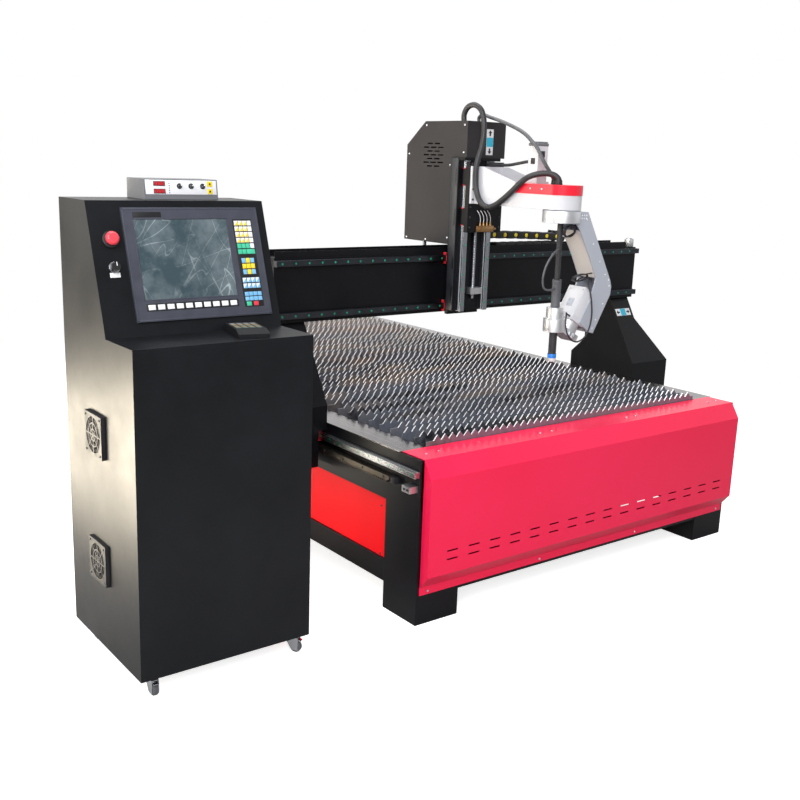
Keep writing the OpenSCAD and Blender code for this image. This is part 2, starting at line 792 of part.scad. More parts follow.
module drag_chain() placed() color("#1c1c1e") {
    y0 = beam_y + chain_tray_inset + (tray_w - chain_w) / 2;
    along_y(y0, y0 + chain_w) {
        translate([cover_x1, chain_mid_z + chain_gap / 2]) square([chain_run_l, chain_h]);
        translate([chain_bend_x - chain_lower_run_l, chain_z0]) square([chain_lower_run_l, chain_h]);
        translate([chain_bend_x, chain_mid_z]) intersection() {
            difference() {
                circle(chain_outer_r);
                circle(chain_gap / 2);
            }
            translate([0, -chain_outer_r]) square([chain_outer_r, 2 * chain_outer_r]);
        }
    }
}

// carriage

module carriage_plate() placed() color("#24262a") {
    x0 = carriage_x - carriage_w / 2;
    x1 = carriage_x + carriage_w / 2;
    box([x0, carriage_y, beam_z - carriage_low_h], [x1, carriage_y + plate_t, bridge_z]);
    difference() {
        box([x0, carriage_y + pass_gap, bridge_z], [x1, cover_y1 - bridge_back_gap, bridge_z + bridge_t]);
        translate([carriage_x, x_pinion_y, bridge_z - over])
            cylinder(r = shaft_r + run_gap, h = bridge_t + 2 * over);
    }
}

module x_bearings() placed() color("#a8adb3") for (rise = [x_rail_low_h, x_rail_high_h]) for (side = [-1, 1])
    translate([carriage_x + side * (x_block_l + x_block_gap) / 2, beam_y, beam_z + rise])
        rotate([90, 0, 0]) bearing_block(x_block_l, block_w);

module carriage_motors() placed() color("#2b2d31") {
    translate([carriage_x - motor_w / 2, x_pinion_y - motor_w / 2, bridge_z + bridge_t])
        cube([motor_w, motor_w, motor_l]);
    translate([carriage_x - z_motor_w / 2, screw_y - z_motor_w / 2, zbase_z1])
        cube([z_motor_w, z_motor_w, z_motor_l]);
}

module x_pinion() placed() color("#b9bdc2") translate([carriage_x, x_pinion_y, x_rack_z]) {
    rotate([0, 0, -90]) linear_extrude(rack_face) polygon(pinion_outline());
    translate([0, 0, rack_face])
        cylinder(r = shaft_r, h = bridge_z + bridge_t - pass_gap - x_rack_z - rack_face);
}

cover_line = [[cover_y0, cover_z0], [cover_y1, cover_z0], [cover_y1, cover_z1 - cover_bevel_h],
    [cover_y1 - cover_bevel_d, cover_z1], [cover_nose_y, cover_z1], [cover_nose_y, zbase_z1],
    [cover_y0, zbase_z1]];

module carriage_cover() placed() color("#303032") difference() {
    cut = inset(cover_line, cover_t);
    inner = [[cover_y0 - over, cover_z0 - over], [cut[1][0], cover_z0 - over], cut[2], cut[3], cut[4],
        [cut[4][0], zbase_z1 - over], [cover_y0 - over, zbase_z1 - over]];
    along_x(cover_x0, cover_x1) polygon(cover_line);
    along_x(cover_x0 + cover_t, cover_x1 - cover_t) polygon(inner);
    for (row = [0 : vent_rows - 1]) for (i = [0 : 1 + row % 2]) {
        y = cover_y0 + vent_y + (i - (1 + row % 2) / 2) * vent_pitch - vent_l / 2;
        z = cover_z0 + vent_low_h + row * vent_row_pitch;
        box([cover_x0 - over, y, z], [cover_x0 + cover_t + over, y + vent_l, z + vent_h]);
    }
}

module z_base() placed() color("#101113") {
    x0 = carriage_x - zbase_w / 2;
    x1 = carriage_x + zbase_w / 2;
    box([x0, zbase_seat_y, zbase_z0], [x1, zbase_y1, zbase_z1 - zbase_cap_t]);
    difference() {
        box([x0, zbase_y0, zbase_z1 - zbase_cap_t], [x1, zbase_y1, zbase_z1]);
        translate([carriage_x, screw_y, zbase_z1 - zbase_cap_t - over])
            cylinder(r = shaft_r + run_gap, h = zbase_cap_t + 2 * over);
    }
}

module z_rails() placed() color("#b4b9bf") for (side = [-1, 1])
    translate([carriage_x + side * z_rail_x, zbase_seat_y, zbase_z0])
        linear_extrude(zbase_h - zbase_cap_t) polygon([for (p = rail_outline(0)) [p[0], -p[1]]]);

module screw_bearings() placed() color("#c3c7cc") difference() {
    z = zbase_z0 + screw_bearing_z;
    box([carriage_x - screw_bearing_w / 2, zbase_y0, z],
        [carriage_x + screw_bearing_w / 2, zbase_seat_y, z + screw_bearing_h]);
    translate([carriage_x, screw_y, z - over]) cylinder(r = shaft_r + run_gap, h = screw_bearing_h + 2 * over);
}

module z_screw() placed() color("#d3d6da") {
    z0 = zbase_z0 + screw_bearing_z - screw_tail_l;
    translate([carriage_x, screw_y, z0]) cylinder(r = shaft_r, h = zbase_z1 - pass_gap - z0);
}

// vertical slide and bevel head

module z_slide_plate() placed() color("#1a1b1d") {
    box([carriage_x - z_plate_w / 2, z_plate_y0, z_plate_z0],
        [carriage_x + z_plate_w / 2, z_plate_y1, z_plate_z1]);
    for (side = [-1, 1]) for (z = [z_plate_z0 + z_block_inset, z_plate_z1 - z_block_inset])
        translate([carriage_x + side * z_rail_x, zbase_seat_y, z]) rotate([90, 0, 0]) rotate([0, 0, 90])
            bearing_block(z_block_l, z_block_w);
    difference() {
        z = z_plate_z0 + nut_low_h;
        box([carriage_x - nut_w / 2, z_plate_y1, z],
            [carriage_x + nut_w / 2, zbase_seat_y - nut_gap, z + nut_h]);
        translate([carriage_x, screw_y, z - over]) cylinder(r = shaft_r + run_gap, h = nut_h + 2 * over);
    }
}

// the head's outline seen from above, round at the torch end
module head_outline(r, back) translate([carriage_x, head_y]) {
    circle(r);
    translate([-r, 0]) square([2 * r, back]);
}

module head_bracket() placed() color("#e6e7ea") {
    y1 = z_plate_y0;
    y0 = y1 - bracket_flange_t;
    z1 = head_z0 + bracket_h;
    low_z = head_z0 + housing_h;
    slope_y = y0 - bracket_flat_l;
    end_y = slope_y - bracket_slope_d;
    plate = [[y0, head_z0], [y0, z1], [slope_y, z1], [end_y, z1 - bracket_slope_h], [end_y, head_z0]];
    box([carriage_x - bracket_flange_w / 2, y0, head_z0], [carriage_x + bracket_flange_w / 2, y1, z1]);
    for (x = [carriage_x - head_r, carriage_x + head_r - bracket_t]) along_x(x, x + bracket_t) polygon(plate);
    difference() {
        translate([0, 0, head_z0]) linear_extrude(housing_h) head_outline(head_r, housing_back_l);
        translate([0, 0, head_z0 + housing_floor_t]) linear_extrude(low_z - head_z0)
            head_outline(head_r - bracket_t, housing_back_l - bracket_t);
        translate([carriage_x, head_y, head_z0 - over]) cylinder(r = hollow_r, h = housing_floor_t + 2 * over);
    }
}

module head_cover() placed() color("#e2293c") difference() {
    z0 = head_z0 + housing_h;
    translate([0, 0, z0]) linear_extrude(head_cover_h) head_outline(head_r + head_cover_t, head_cover_l);
    translate([0, 0, z0 - over]) linear_extrude(head_cover_h - head_cover_t + over)
        head_outline(head_r, head_cover_l - head_cover_t);
}

module a_motor() placed() color("#d9dbdf") translate([carriage_x, head_y + a_motor_y, head_cover_z1]) {
    translate([-a_motor_flange_w / 2, -a_motor_flange_w / 2, 0])
        cube([a_motor_flange_w, a_motor_flange_w, a_motor_flange_t]);
    translate([-a_motor_w / 2, -a_motor_w / 2, a_motor_flange_t])
        cube([a_motor_w, a_motor_w, a_motor_h - a_motor_flange_t]);
    translate([-a_motor_cap_d / 2, a_motor_w / 2, a_motor_h - a_motor_cap_h - a_motor_w])
        cube([a_motor_cap_d, a_motor_cap_d / 2, a_motor_cap_h]);
}

function arm_point(share) = [carriage_x + share[0] * arm_reach, arm_z1 - share[1] * arm_drop];

module bevel_arm() placed() color("#a9afba") {
    y0 = head_y - arm_w / 2;
    y1 = head_y + arm_w / 2;
    difference() {
        union() {
            translate([carriage_x, head_y, disc_z1 - disc_h]) cylinder(r = head_r, h = disc_h);
            translate([carriage_x, head_y, disc_z1]) cylinder(r = hollow_r - run_gap, h = hollow_h);
            for (y = [y0, y1 - arm_t]) along_y(y, y + arm_t) polygon([for (s = arm_shares) arm_point(s)]);
            along_y(y0 + arm_t, y1 - arm_t)
                polygon(bent_sheet([for (s = arm_inner_shares) arm_point(s)], panel_t));
            along_y(y0 + arm_t, y1 - arm_t)
                polygon(bent_sheet([for (s = arm_back_shares) arm_point(s)], -panel_t));
        }
        translate([carriage_x, head_y, disc_z1 - disc_h - over])
            cylinder(r = hollow_bore_r, h = disc_h + hollow_h + 2 * over);
    }
}

// pieces drawn along the tilt axis, which starts at the torch tip
module on_tilt_axis() translate([carriage_x, head_y, torch_tip_z]) rotate([0, tilt_lean, 0]) children();

module tilt_motor() placed() color("#f0f1f4") on_tilt_axis() difference() {
    half = arm_w / 2 - arm_t;
    box([-tilt_box_in_l, -half, tilt_box_t0], [tilt_box_out_l, half, tilt_box_t1]);
    translate([0, 0, tilt_box_t0 - over])
        cylinder(r = tilt_shaft_r + run_gap, h = tilt_shaft_l + over + pass_gap);
}

module torch_holder() placed() color("#d5d8dd") difference() {
    union() {
        on_tilt_axis() {
            translate([0, 0, output_t0]) cylinder(r = output_r, h = tilt_box_t0 - pass_gap - output_t0);
            translate([0, 0, output_t0]) cylinder(r = tilt_shaft_r, h = tilt_box_t0 + tilt_shaft_l - output_t0);
            box([-holder_in_l, -output_r, holder_t0], [output_r, output_r, output_t0]);
        }
        translate([carriage_x, head_y, torch_tip_z + holder_ring_low_h]) {
            cylinder(r = holder_ring_r, h = holder_ring_h);
            cylinder(r = holder_neck_r, h = holder_ring_h + holder_neck_h);
        }
    }
    translate([carriage_x, head_y, torch_tip_z]) cylinder(r = torch_r + torch_gap, h = tip_drop);
}

module torch() placed() color("#26272a") translate([carriage_x, head_y, torch_tip_z]) {
    neck = holder_ring_low_h + holder_ring_h + holder_neck_h;
    cylinder(r1 = torch_tip_r, r2 = torch_cup_r, h = torch_cup_h);
    translate([0, 0, torch_cup_h]) cylinder(r = torch_band_r, h = torch_band_h);
    translate([0, 0, torch_cup_h + torch_band_h]) cylinder(r = torch_r, h = neck - torch_cup_h - torch_band_h);
    translate([0, 0, neck]) cylinder(r = torch_sleeve_r, h = torch_sleeve_h);
}

module upper_hoses() placed() color("#2a2a2d") {
    hose(torch_lead_route, lead_d, lead_sides);
    hose(gas_hose_route, gas_d, gas_sides);
    hose(motor_cable_route, cable_d, gas_sides);
}

module arm_hoses() placed() color("#2a2a2d") {
    hose(lower_lead_route, lead_d, lead_sides);
    hose(arm_cable_route, thin_d, gas_sides);
    hose(arm_loop_route, loop_d, gas_sides);
}

// console

cabinet_line = [[console_y, caster_h], [console_y1, caster_h], [console_y1, console_z1], [slope_y1, console_z1],
    [slope_y0, shelf_z], [console_y, shelf_z]];

// pieces drawn on the sloping face: X from its left edge, Y up the slope, Z out of it
module on_slope() translate([console_x0, slope_y0, shelf_z]) rotate([slope_angle, 0, 0]) children();

module console_cabinet() placed() color("#161718") difference() {
    cut = inset(cabinet_line, cabinet_t);
    along_x(console_x0, console_x1) polygon(cabinet_line);
    along_x(console_x0 + cabinet_t, console_x1 - cabinet_t) polygon(cut);
    box([console_x0 + cabinet_t, console_y1 - cabinet_t - over, caster_h + cabinet_t],
        [console_x1 - cabinet_t, console_y1 + over, console_z1 - cabinet_t]);
    on_slope() {
        box([panel_x0 + unit_inset - unit_gap, panel_y0 + unit_inset - unit_gap, -unit_depth],
            [panel_x0 + panel_w - unit_inset + unit_gap, panel_y0 + panel_h - unit_inset + unit_gap, over]);
        translate([stop_x, stop_up_l, -unit_depth]) cylinder(r = stop_stem_r + over, h = unit_depth + over);
        translate([select_x, select_up_l, -unit_depth])
            cylinder(r = select_stem_r + over, h = unit_depth + over);
    }
    for (z = fan_z) bar_x([console_x0 - over, console_y + fan_y, caster_h + z], fan_r, cabinet_t + 2 * over);
    for (at = caster_places) translate([at[0], at[1], caster_h - over])
        cylinder(r = caster_stem_r + run_gap, h = cabinet_t + 2 * over);
}

module console_rear_panel() placed() color("#1c1d1f")
    box([console_x0, console_y1, caster_h], [console_x1, console_y1 + rear_t, console_z1]);

module control_unit() placed() color("#4a4d63") on_slope() difference() {
    union() {
        translate([panel_x0, panel_y0, 0]) cube([panel_w, panel_h, panel_face_t]);
        translate([panel_x0 + unit_inset, panel_y0 + unit_inset, -unit_depth])
            cube([panel_w - 2 * unit_inset, panel_h - 2 * unit_inset, unit_depth]);
    }
    translate([screen_x0, screen_y0, panel_face_t - screen_depth])
        cube([screen_w, screen_h, screen_depth + over]);
}

module control_screen() placed() color("#24323a") on_slope()
    translate([screen_x0 + pass_gap, screen_y0 + pass_gap, panel_face_t - screen_depth])
        cube([screen_w - 2 * pass_gap, screen_h - 2 * pass_gap, screen_t]);

module switch_collars() placed() color("#3a3b3e") on_slope() {
    translate([stop_x, stop_up_l, 0]) difference() {
        cylinder(r = stop_collar_r, h = stop_collar_h);
        translate([0, 0, -over]) cylinder(r = stop_stem_r + run_gap, h = stop_collar_h + 2 * over);
    }
    translate([select_x, select_up_l, 0]) difference() {
        cylinder(r = select_collar_r, h = select_collar_h);
        translate([0, 0, -over]) cylinder(r = select_stem_r + run_gap, h = select_collar_h + 2 * over);
    }
}

module estop_button() placed() color("#d8433f") on_slope() translate([stop_x, stop_up_l, 0]) {
    translate([0, 0, -stop_stem_l]) cylinder(r = stop_stem_r, h = stop_stem_l + stop_head_low_h);
    rim = stop_head_h / 2;
    translate([0, 0, stop_head_low_h]) rotate_extrude() polygon([[0, 0], [stop_head_r, 0], [stop_head_r, rim],
        [stop_head_r - rim / 2, stop_head_h - rim / 3], [stop_head_r - rim, stop_head_h], [0, stop_head_h]]);
}

module selector_knob() placed() color("#1e1e20") on_slope() translate([select_x, select_up_l, 0]) {
    top = select_collar_h + pass_gap + select_knob_h;
    translate([0, 0, -stop_stem_l]) cylinder(r = select_stem_r, h = stop_stem_l + select_collar_h + pass_gap);
    translate([0, 0, select_collar_h + pass_gap]) cylinder(r = select_knob_r, h = select_knob_h);
    translate([-select_grip_t / 2, -select_knob_r, top])
        cube([select_grip_t, 2 * select_knob_r, select_grip_h]);
}

thc_y1 = console_y1 - thc_back_gap;
thc_y0 = thc_y1 - thc_d;

// pieces drawn on the height control's leaning front: X from its left edge, Y up the front, Z out of it
module on_thc() translate([console_x0 + thc_x0, thc_y0, console_z1])
    rotate([atan2(thc_h, thc_lean_d), 0, 0]) children();

function toggle_place(share) = [share * thc_w, toggle_rise_share * norm([thc_h, thc_lean_d]), 0];

module thc_box() placed() color("#8f9297") {
    difference() {
        along_x(console_x0 + thc_x0, console_x0 + thc_x0 + thc_w) polygon([[thc_y0, console_z1],
            [thc_y1, console_z1], [thc_y1, console_z1 + thc_h], [thc_y0 + thc_lean_d, console_z1 + thc_h]]);
        on_thc() for (share = toggle_shares) translate(toggle_place(share) - [0, 0, toggle_nut_h])
            cylinder(r = toggle_bore_r, h = 2 * toggle_nut_h);
    }
    on_thc() for (share = toggle_shares) translate(toggle_place(share)) difference() {
        cylinder(r = toggle_nut_r, h = toggle_nut_h, $fn = 6);
        translate([0, 0, -over]) cylinder(r = toggle_bore_r, h = toggle_nut_h + 2 * over);
    }
}

module toggle(share) placed() color("#c9ccd1")
    on_thc() translate(toggle_place(share) + [0, 0, toggle_pivot_h]) {
    bar_x([-toggle_pin_l / 2, 0, 0], toggle_pin_r, toggle_pin_l);
    cylinder(r = toggle_r, h = toggle_l);
    translate([0, 0, toggle_l]) sphere(toggle_end_r);
}

module remote_handset() placed() color("#202226")
    translate([console_x0 + remote_at[0], console_y + remote_at[1], shelf_z]) rotate([0, 0, remote_turn])
        translate([-remote_size[0] / 2, 0, 0]) along_x(0, remote_size[0]) polygon([[-remote_size[1] / 2, 0],
            [remote_size[1] / 2, 0], [remote_size[1] / 2, remote_size[2]],
            [remote_nose_l - remote_size[1] / 2, remote_size[2]], [-remote_size[1] / 2, remote_size[2] / 2]]);

module fan_frames() placed() color("#17181a") for (z = fan_z)
    translate([console_x0, console_y + fan_y, caster_h + z]) rotate([90, 0, 90]) {
        back = cabinet_t + fan_depth;
        translate([0, 0, -guard_t]) linear_extrude(guard_t) {
            difference() {
                square(fan_w, center = true);
                circle(fan_r);
            }
            for (r = guard_rings) difference() {
                circle(r);
                circle(r - guard_bar_w);
            }
            for (a = [0, 90]) rotate(a) square([2 * fan_r + guard_bar_w, guard_bar_w], center = true);
        }
        translate([0, 0, cabinet_t]) linear_extrude(fan_depth) difference() {
            square(fan_body_w, center = true);
            circle(fan_r);
        }
        translate([0, 0, back - fan_strut_t]) linear_extrude(fan_strut_t) {
            circle(fan_hub_r);
            for (a = [0, 90]) rotate(a) square([2 * fan_r + guard_bar_w, guard_bar_w], center = true);
        }
        translate([0, 0, cabinet_t + fan_strut_t]) cylinder(r = fan_pin_r, h = fan_depth - fan_strut_t);
    }

module fan_rotor(z) placed() color("#0e0e10") translate([console_x0, console_y + fan_y, caster_h + z])
    rotate([90, 0, 90]) translate([0, 0, cabinet_t]) difference() {
        depth = fan_depth - fan_strut_t - pass_gap;
        union() {
            cylinder(r = fan_hub_r, h = depth);
            for (k = [0 : fan_blades - 1]) rotate(k * 360 / fan_blades) translate([0, 0, depth / 2])
                rotate([fan_blade_pitch, 0, 0])
                    translate([fan_pin_r + fan_blade_t, -fan_blade_w / 2, -fan_blade_t / 2])
                        cube([fan_r - fan_tip_gap - fan_pin_r - fan_blade_t - over, fan_blade_w, fan_blade_t]);
        }
        translate([0, 0, fan_strut_t - pass_gap]) cylinder(r = fan_pin_r + run_gap, h = fan_depth);
    }

module electrical_plate() placed() color("#b7babd") {
    y1 = console_y1 - mount_plate_gap;
    y0 = y1 - mount_plate_t;
    z0 = caster_h + mount_plate_z;
    box([console_x0 + cabinet_t, y0, z0], [console_x1 - cabinet_t, y1, z0 + mount_plate_h]);
    for (i = [0 : drive_count - 1]) {
        x = (console_x0 + console_x1) / 2 + (i - (drive_count - 1) / 2) * drive_pitch - drive_size[0] / 2;
        translate([x, y0 - drive_size[1], z0 + drive_z]) cube(drive_size);
    }
    translate([(console_x0 + console_x1 - supply_size[0]) / 2, y0 - supply_size[1], z0 + supply_z])
        cube(supply_size);
}

caster_x0 = console_x0 + caster_inset;
caster_x1 = console_x1 - caster_inset;
caster_y0 = console_y + caster_inset;
caster_y1 = console_y1 - caster_inset;
caster_places = [[caster_x0, caster_y0, 0], [caster_x1, caster_y0, caster_turn], [caster_x0, caster_y1, 0],
    [caster_x1, caster_y1, 0]];

module on_caster(i) translate([caster_places[i][0], caster_places[i][1], 0])
    rotate(caster_places[i][2]) children();

module caster_fork(i) on_caster(i) {
    top = caster_h - pass_gap;
    inner = caster_wheel_w / 2 + caster_cheek_gap;
    outer = inner + caster_cheek_t;
    low = caster_wheel_r - caster_cheek_w / 2;
    translate([0, 0, top - caster_top_h]) cylinder(r = caster_top_r, h = caster_top_h);
    cylinder_top = caster_stem_h + caster_h;
    translate([0, 0, top - caster_top_h]) cylinder(r = caster_stem_r, h = cylinder_top - top + caster_top_h);
    for (x = [-outer, inner]) along_x(x, x + caster_cheek_t) polygon([
        [-caster_trail_l - caster_cheek_w / 2, low], [-caster_trail_l + caster_cheek_w / 2, low],
        [caster_cheek_w / 2, top - caster_top_h], [-caster_trail_l - caster_cheek_w / 2, top - caster_top_h]]);
    box([-outer, -caster_trail_l - caster_cheek_w / 2, top - caster_top_h - caster_cheek_t],
        [outer, caster_cheek_w / 2, top - caster_top_h]);
    bar_x([-outer, -caster_trail_l, caster_wheel_r], caster_pin_r, 2 * outer);
}

module caster_wheel(i) placed() color("#3a3c40") on_caster(i) translate([0, -caster_trail_l, caster_wheel_r])
    rotate([90, 0, 90]) rotate_extrude() {
        half = caster_wheel_w / 2;
        polygon([[caster_pin_r + run_gap, -half], [caster_wheel_r - tread_bevel, -half],
            [caster_wheel_r, tread_bevel - half], [caster_wheel_r, half - tread_bevel],
            [caster_wheel_r - tread_bevel, half], [caster_pin_r + run_gap, half]]);
    }

module caster_fork_front_left() placed() color("#c4c8cd") caster_fork(0);

module caster_fork_front_right() placed() color("#c4c8cd") caster_fork(1);

module caster_forks_rear() placed() color("#c4c8cd") for (i = [2, 3]) caster_fork(i);

table_frame();
side_panels();
front_panel();
rear_panel();
top_strips();
slats();
slag_tray();
y_rails();
y_racks();
end_stops();
console_cabinet();
console_rear_panel();
control_unit();
control_screen();
switch_collars();
thc_box();
remote_handset();
fan_frames();
electrical_plate();
estop_button();
selector_knob();
toggle(toggle_shares[0]);  // thc_toggle_left
toggle(toggle_shares[1]);  // thc_toggle_middle
toggle(toggle_shares[2]);  // thc_toggle_right
fan_rotor(fan_z[1]);  // fan_rotor_upper
fan_rotor(fan_z[0]);  // fan_rotor_lower
caster_fork_front_left();
caster_fork_front_right();
caster_forks_rear();
caster_wheel(0);  // caster_wheel_front_left
caster_wheel(1);  // caster_wheel_front_right
caster_wheel(2);  // caster_wheel_rear_left
caster_wheel(3);  // caster_wheel_rear_right
gantry_feet();
gantry_beam();
x_rails();
x_rack();
y_bearings();
y_motors();
y_pinions();
drag_chain();
carriage_plate();
x_bearings();
carriage_motors();
x_pinion();
carriage_cover();
z_base();
z_rails();
screw_bearings();
z_screw();
z_slide_plate();
head_bracket();
head_cover();
a_motor();
bevel_arm();
tilt_motor();
torch_holder();
torch();
upper_hoses();
arm_hoses();
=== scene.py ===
# Plasma cutting table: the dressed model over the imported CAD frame.
# Lengths in calls are millimetres from the front left foot of the table: X right, Y to the rear, Z up.
import math

import bpy
from mathutils import Matrix, Vector


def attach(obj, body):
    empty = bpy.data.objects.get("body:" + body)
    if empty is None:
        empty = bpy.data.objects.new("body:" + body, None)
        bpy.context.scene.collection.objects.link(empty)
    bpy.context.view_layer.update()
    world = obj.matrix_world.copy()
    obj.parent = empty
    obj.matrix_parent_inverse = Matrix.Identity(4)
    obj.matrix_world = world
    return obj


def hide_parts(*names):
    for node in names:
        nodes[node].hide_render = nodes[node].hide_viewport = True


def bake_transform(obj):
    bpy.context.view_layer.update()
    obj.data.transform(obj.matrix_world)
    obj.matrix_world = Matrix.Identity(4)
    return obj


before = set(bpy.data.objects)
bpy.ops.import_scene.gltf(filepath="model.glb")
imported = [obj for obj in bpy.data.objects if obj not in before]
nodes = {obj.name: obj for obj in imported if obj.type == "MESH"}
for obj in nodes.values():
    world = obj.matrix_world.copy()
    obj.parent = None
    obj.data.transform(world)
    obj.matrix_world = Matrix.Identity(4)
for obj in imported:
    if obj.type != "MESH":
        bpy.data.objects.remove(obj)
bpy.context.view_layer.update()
MM = 0.001

# frames that pieces are drawn in, with the rise and run of the two sloped faces and the lean of the tilt axis
SLOPE_RISE, SLOPE_RUN = 382, 128
HEIGHT_RISE, HEIGHT_RUN = 61, 10
TILT_LEAN = math.radians(30)
TABLE = Matrix.Translation((-0.4945, -1.62, 0))
SLOPE = TABLE @ Matrix.Translation((-0.980, 0.233, 1.047)) @ Matrix.Rotation(
    math.atan2(SLOPE_RISE, SLOPE_RUN), 4, "X")
HEIGHT_FACE = TABLE @ Matrix.Translation((-0.768, 0.428, 1.429)) @ Matrix.Rotation(
    math.atan2(HEIGHT_RISE, HEIGHT_RUN), 4, "X")
TILT = TABLE @ Matrix.Translation((0.730, 0.141, 0.848)) @ Matrix.Rotation(TILT_LEAN, 4, "Y")

# directions and places that many pieces share
LEFT, RIGHT = (-1, 0, 0), (1, 0, 0)
FRONT, REAR = (0, -1, 0), (0, 1, 0)
UP = (0, 0, 1)
MIDDLE_X, MIDDLE_Y = 862.5, 1620
TABLE_TOP = 600
SLAT_PITCH = 69.5
HEAD_X, HEAD_Y = 730, 141
SIDE_BLOCK_Z = 547
BEAM_RAIL_Z = (988, 1185)
UPRIGHT_RAIL_X = (668, 792)


def spot(x, y, z):
    """A place in the part's frame, in metres, from millimetres at the table's corner."""
    return TABLE @ (Vector((x, y, z)) * MM)


# modelling helpers

def clear():
    """Deselects everything."""
    bpy.ops.object.select_all(action="DESELECT")


def pick(obj):
    """Selects one piece alone."""
    clear()
    obj.select_set(True)
    bpy.context.view_layer.objects.active = obj
    return obj


def modify(obj, kind, **settings):
    """Adds one modifier and applies it."""
    pick(obj)
    modifier = obj.modifiers.new(kind.lower(), kind)
    for name, value in settings.items():
        setattr(modifier, name, value)
    bpy.ops.object.modifier_apply(modifier=modifier.name)
    return obj


def eased(obj, width):
    """Rounds the sharp edges of a piece."""
    return modify(obj, "BEVEL", width=width * MM, segments=2, limit_method="ANGLE", angle_limit=0.6)


def joined(*parts):
    """Joins pieces into the first of them."""
    clear()
    for part in parts:
        part.select_set(True)
    bpy.context.view_layer.objects.active = parts[0]
    bpy.ops.object.join()
    return parts[0]


def row(obj, count, step):
    """Repeats a piece along one step."""
    return modify(obj, "ARRAY", count=count, use_relative_offset=False, use_constant_offset=True,
                  constant_offset_displace=Vector(step) * MM)


def mirrored(obj, axis, middle):
    """The piece and its mirror image about a plane square to an axis."""
    pick(obj)
    bpy.ops.object.duplicate()
    copy = bpy.context.object
    normal = Vector((axis == "X", axis == "Y", axis == "Z"))
    copy.data.transform(Matrix.Translation(2 * middle * MM * normal) @ Matrix.Scale(-1, 4, normal))
    copy.data.flip_normals()
    return joined(obj, copy)


def block(low, high, ease):
    """A block between two corners, with eased edges."""
    clear()
    low, high = Vector(low) * MM, Vector(high) * MM
    bpy.ops.mesh.primitive_cube_add(size=1, location=(low + high) / 2)
    obj = bpy.context.object
    obj.scale = high - low
    bpy.ops.object.transform_apply(location=True, rotation=True, scale=True)
    return eased(obj, ease) if ease else obj


def lathe(profile, place, axis, sides):
    """A turned piece: a disc extruded and widened through its (radius, height) steps, set on its axis."""
    clear()
    radius, height = profile[0]
    bpy.ops.mesh.primitive_circle_add(vertices=sides, radius=radius * MM, fill_type="NGON",
                                      location=(0, 0, height * MM))
    obj = bpy.context.object
    bpy.ops.object.transform_apply(location=True)
    bpy.ops.object.mode_set(mode="EDIT")
    bpy.ops.mesh.select_all(action="SELECT")
    for wide, high in profile[1:]:
        bpy.ops.mesh.extrude_region_move(TRANSFORM_OT_translate={"value": (0, 0, (high - height) * MM)})
        bpy.ops.transform.resize(value=(wide / radius, wide / radius, 1), center_override=(0, 0, high * MM))
        radius, height = wide, high
    bpy.ops.mesh.select_all(action="SELECT")
    bpy.ops.mesh.normals_make_consistent(inside=False)
    bpy.ops.object.mode_set(mode="OBJECT")
    turn = Vector(axis).to_track_quat("Z", "Y").to_matrix().to_4x4()
    obj.data.transform(Matrix.Translation(Vector(place) * MM) @ turn)
    return obj


def plate(outline, thick, ease):
    """A flat outline given as points, extruded by a vector."""
    clear()
    mesh = bpy.data.meshes.new("plate")
    mesh.from_pydata([Vector(p) * MM for p in outline], [], [list(range(len(outline)))])
    obj = bpy.data.objects.new("plate", mesh)
    bpy.context.collection.objects.link(obj)
    pick(obj)
    bpy.ops.object.mode_set(mode="EDIT")
    bpy.ops.mesh.select_all(action="SELECT")
    bpy.ops.mesh.extrude_region_move(TRANSFORM_OT_translate={"value": Vector(thick) * MM})
    bpy.ops.mesh.select_all(action="SELECT")
    bpy.ops.mesh.normals_make_consistent(inside=False)
    bpy.ops.object.mode_set(mode="OBJECT")
    return eased(obj, ease) if ease else obj


def screw(place, axis, r):
    """A button head screw with a socket."""
    profile = [(r, 0), (r, 0.35 * r), (0.8 * r, 0.62 * r), (0.5 * r, 0.7 * r), (0.42 * r, 0.7 * r),
               (0.38 * r, 0.35 * r)]
    return lathe(profile, place, axis, 12)


def screws(places, axis, r):
    """Screws of one size that face the same way."""
    return joined(*[screw(p, axis, r) for p in places])


def tube(name, line, thick, resolution, capped):
    """A round mesh tube along a line of points, in metres."""
    data = bpy.data.curves.new(name, "CURVE")
    data.dimensions = "3D"
    data.bevel_depth = thick / 2
    data.bevel_resolution = resolution
    data.use_fill_caps = capped
    spline = data.splines.new("POLY")
    spline.points.add(len(line) - 1)
    for point, place in zip(spline.points, line):
        point.co = (*place, 1)
    obj = bpy.data.objects.new(name, data)
    bpy.context.collection.objects.link(obj)
    pick(obj)
    bpy.ops.object.convert(target="MESH")
    return bpy.context.object


def dress(piece, name, material, body, where=TABLE, stands_for=(), angle=35):
    """Joins a list to one piece, names it, sets it in its frame, finishes it and lets it ride on its body."""
    obj = joined(*piece) if isinstance(piece, list) else piece
    obj.data.transform(where)
    obj.name = name
    obj.data.name = name
    obj.data.materials.clear()
    obj.data.materials.append(material)
    pick(obj)
    bpy.ops.object.shade_smooth_by_angle(angle=math.radians(angle))
    if stands_for:
        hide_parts(*stands_for)
    if body:
        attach(obj, body)
    return obj


# material helpers

def colour(code):
    """A linear colour from an sRGB hex code."""
    parts = [int(code[i:i + 2], 16) / 255 for i in (1, 3, 5)]
    return tuple(c / 12.92 if c <= 0.04045 else ((c + 0.055) / 1.055) ** 2.4 for c in parts) + (1.0,)


def cells(size_mm):
    """How many cells of a pattern go to a metre, for a cell of a real size."""
    return 1 / (size_mm * MM)


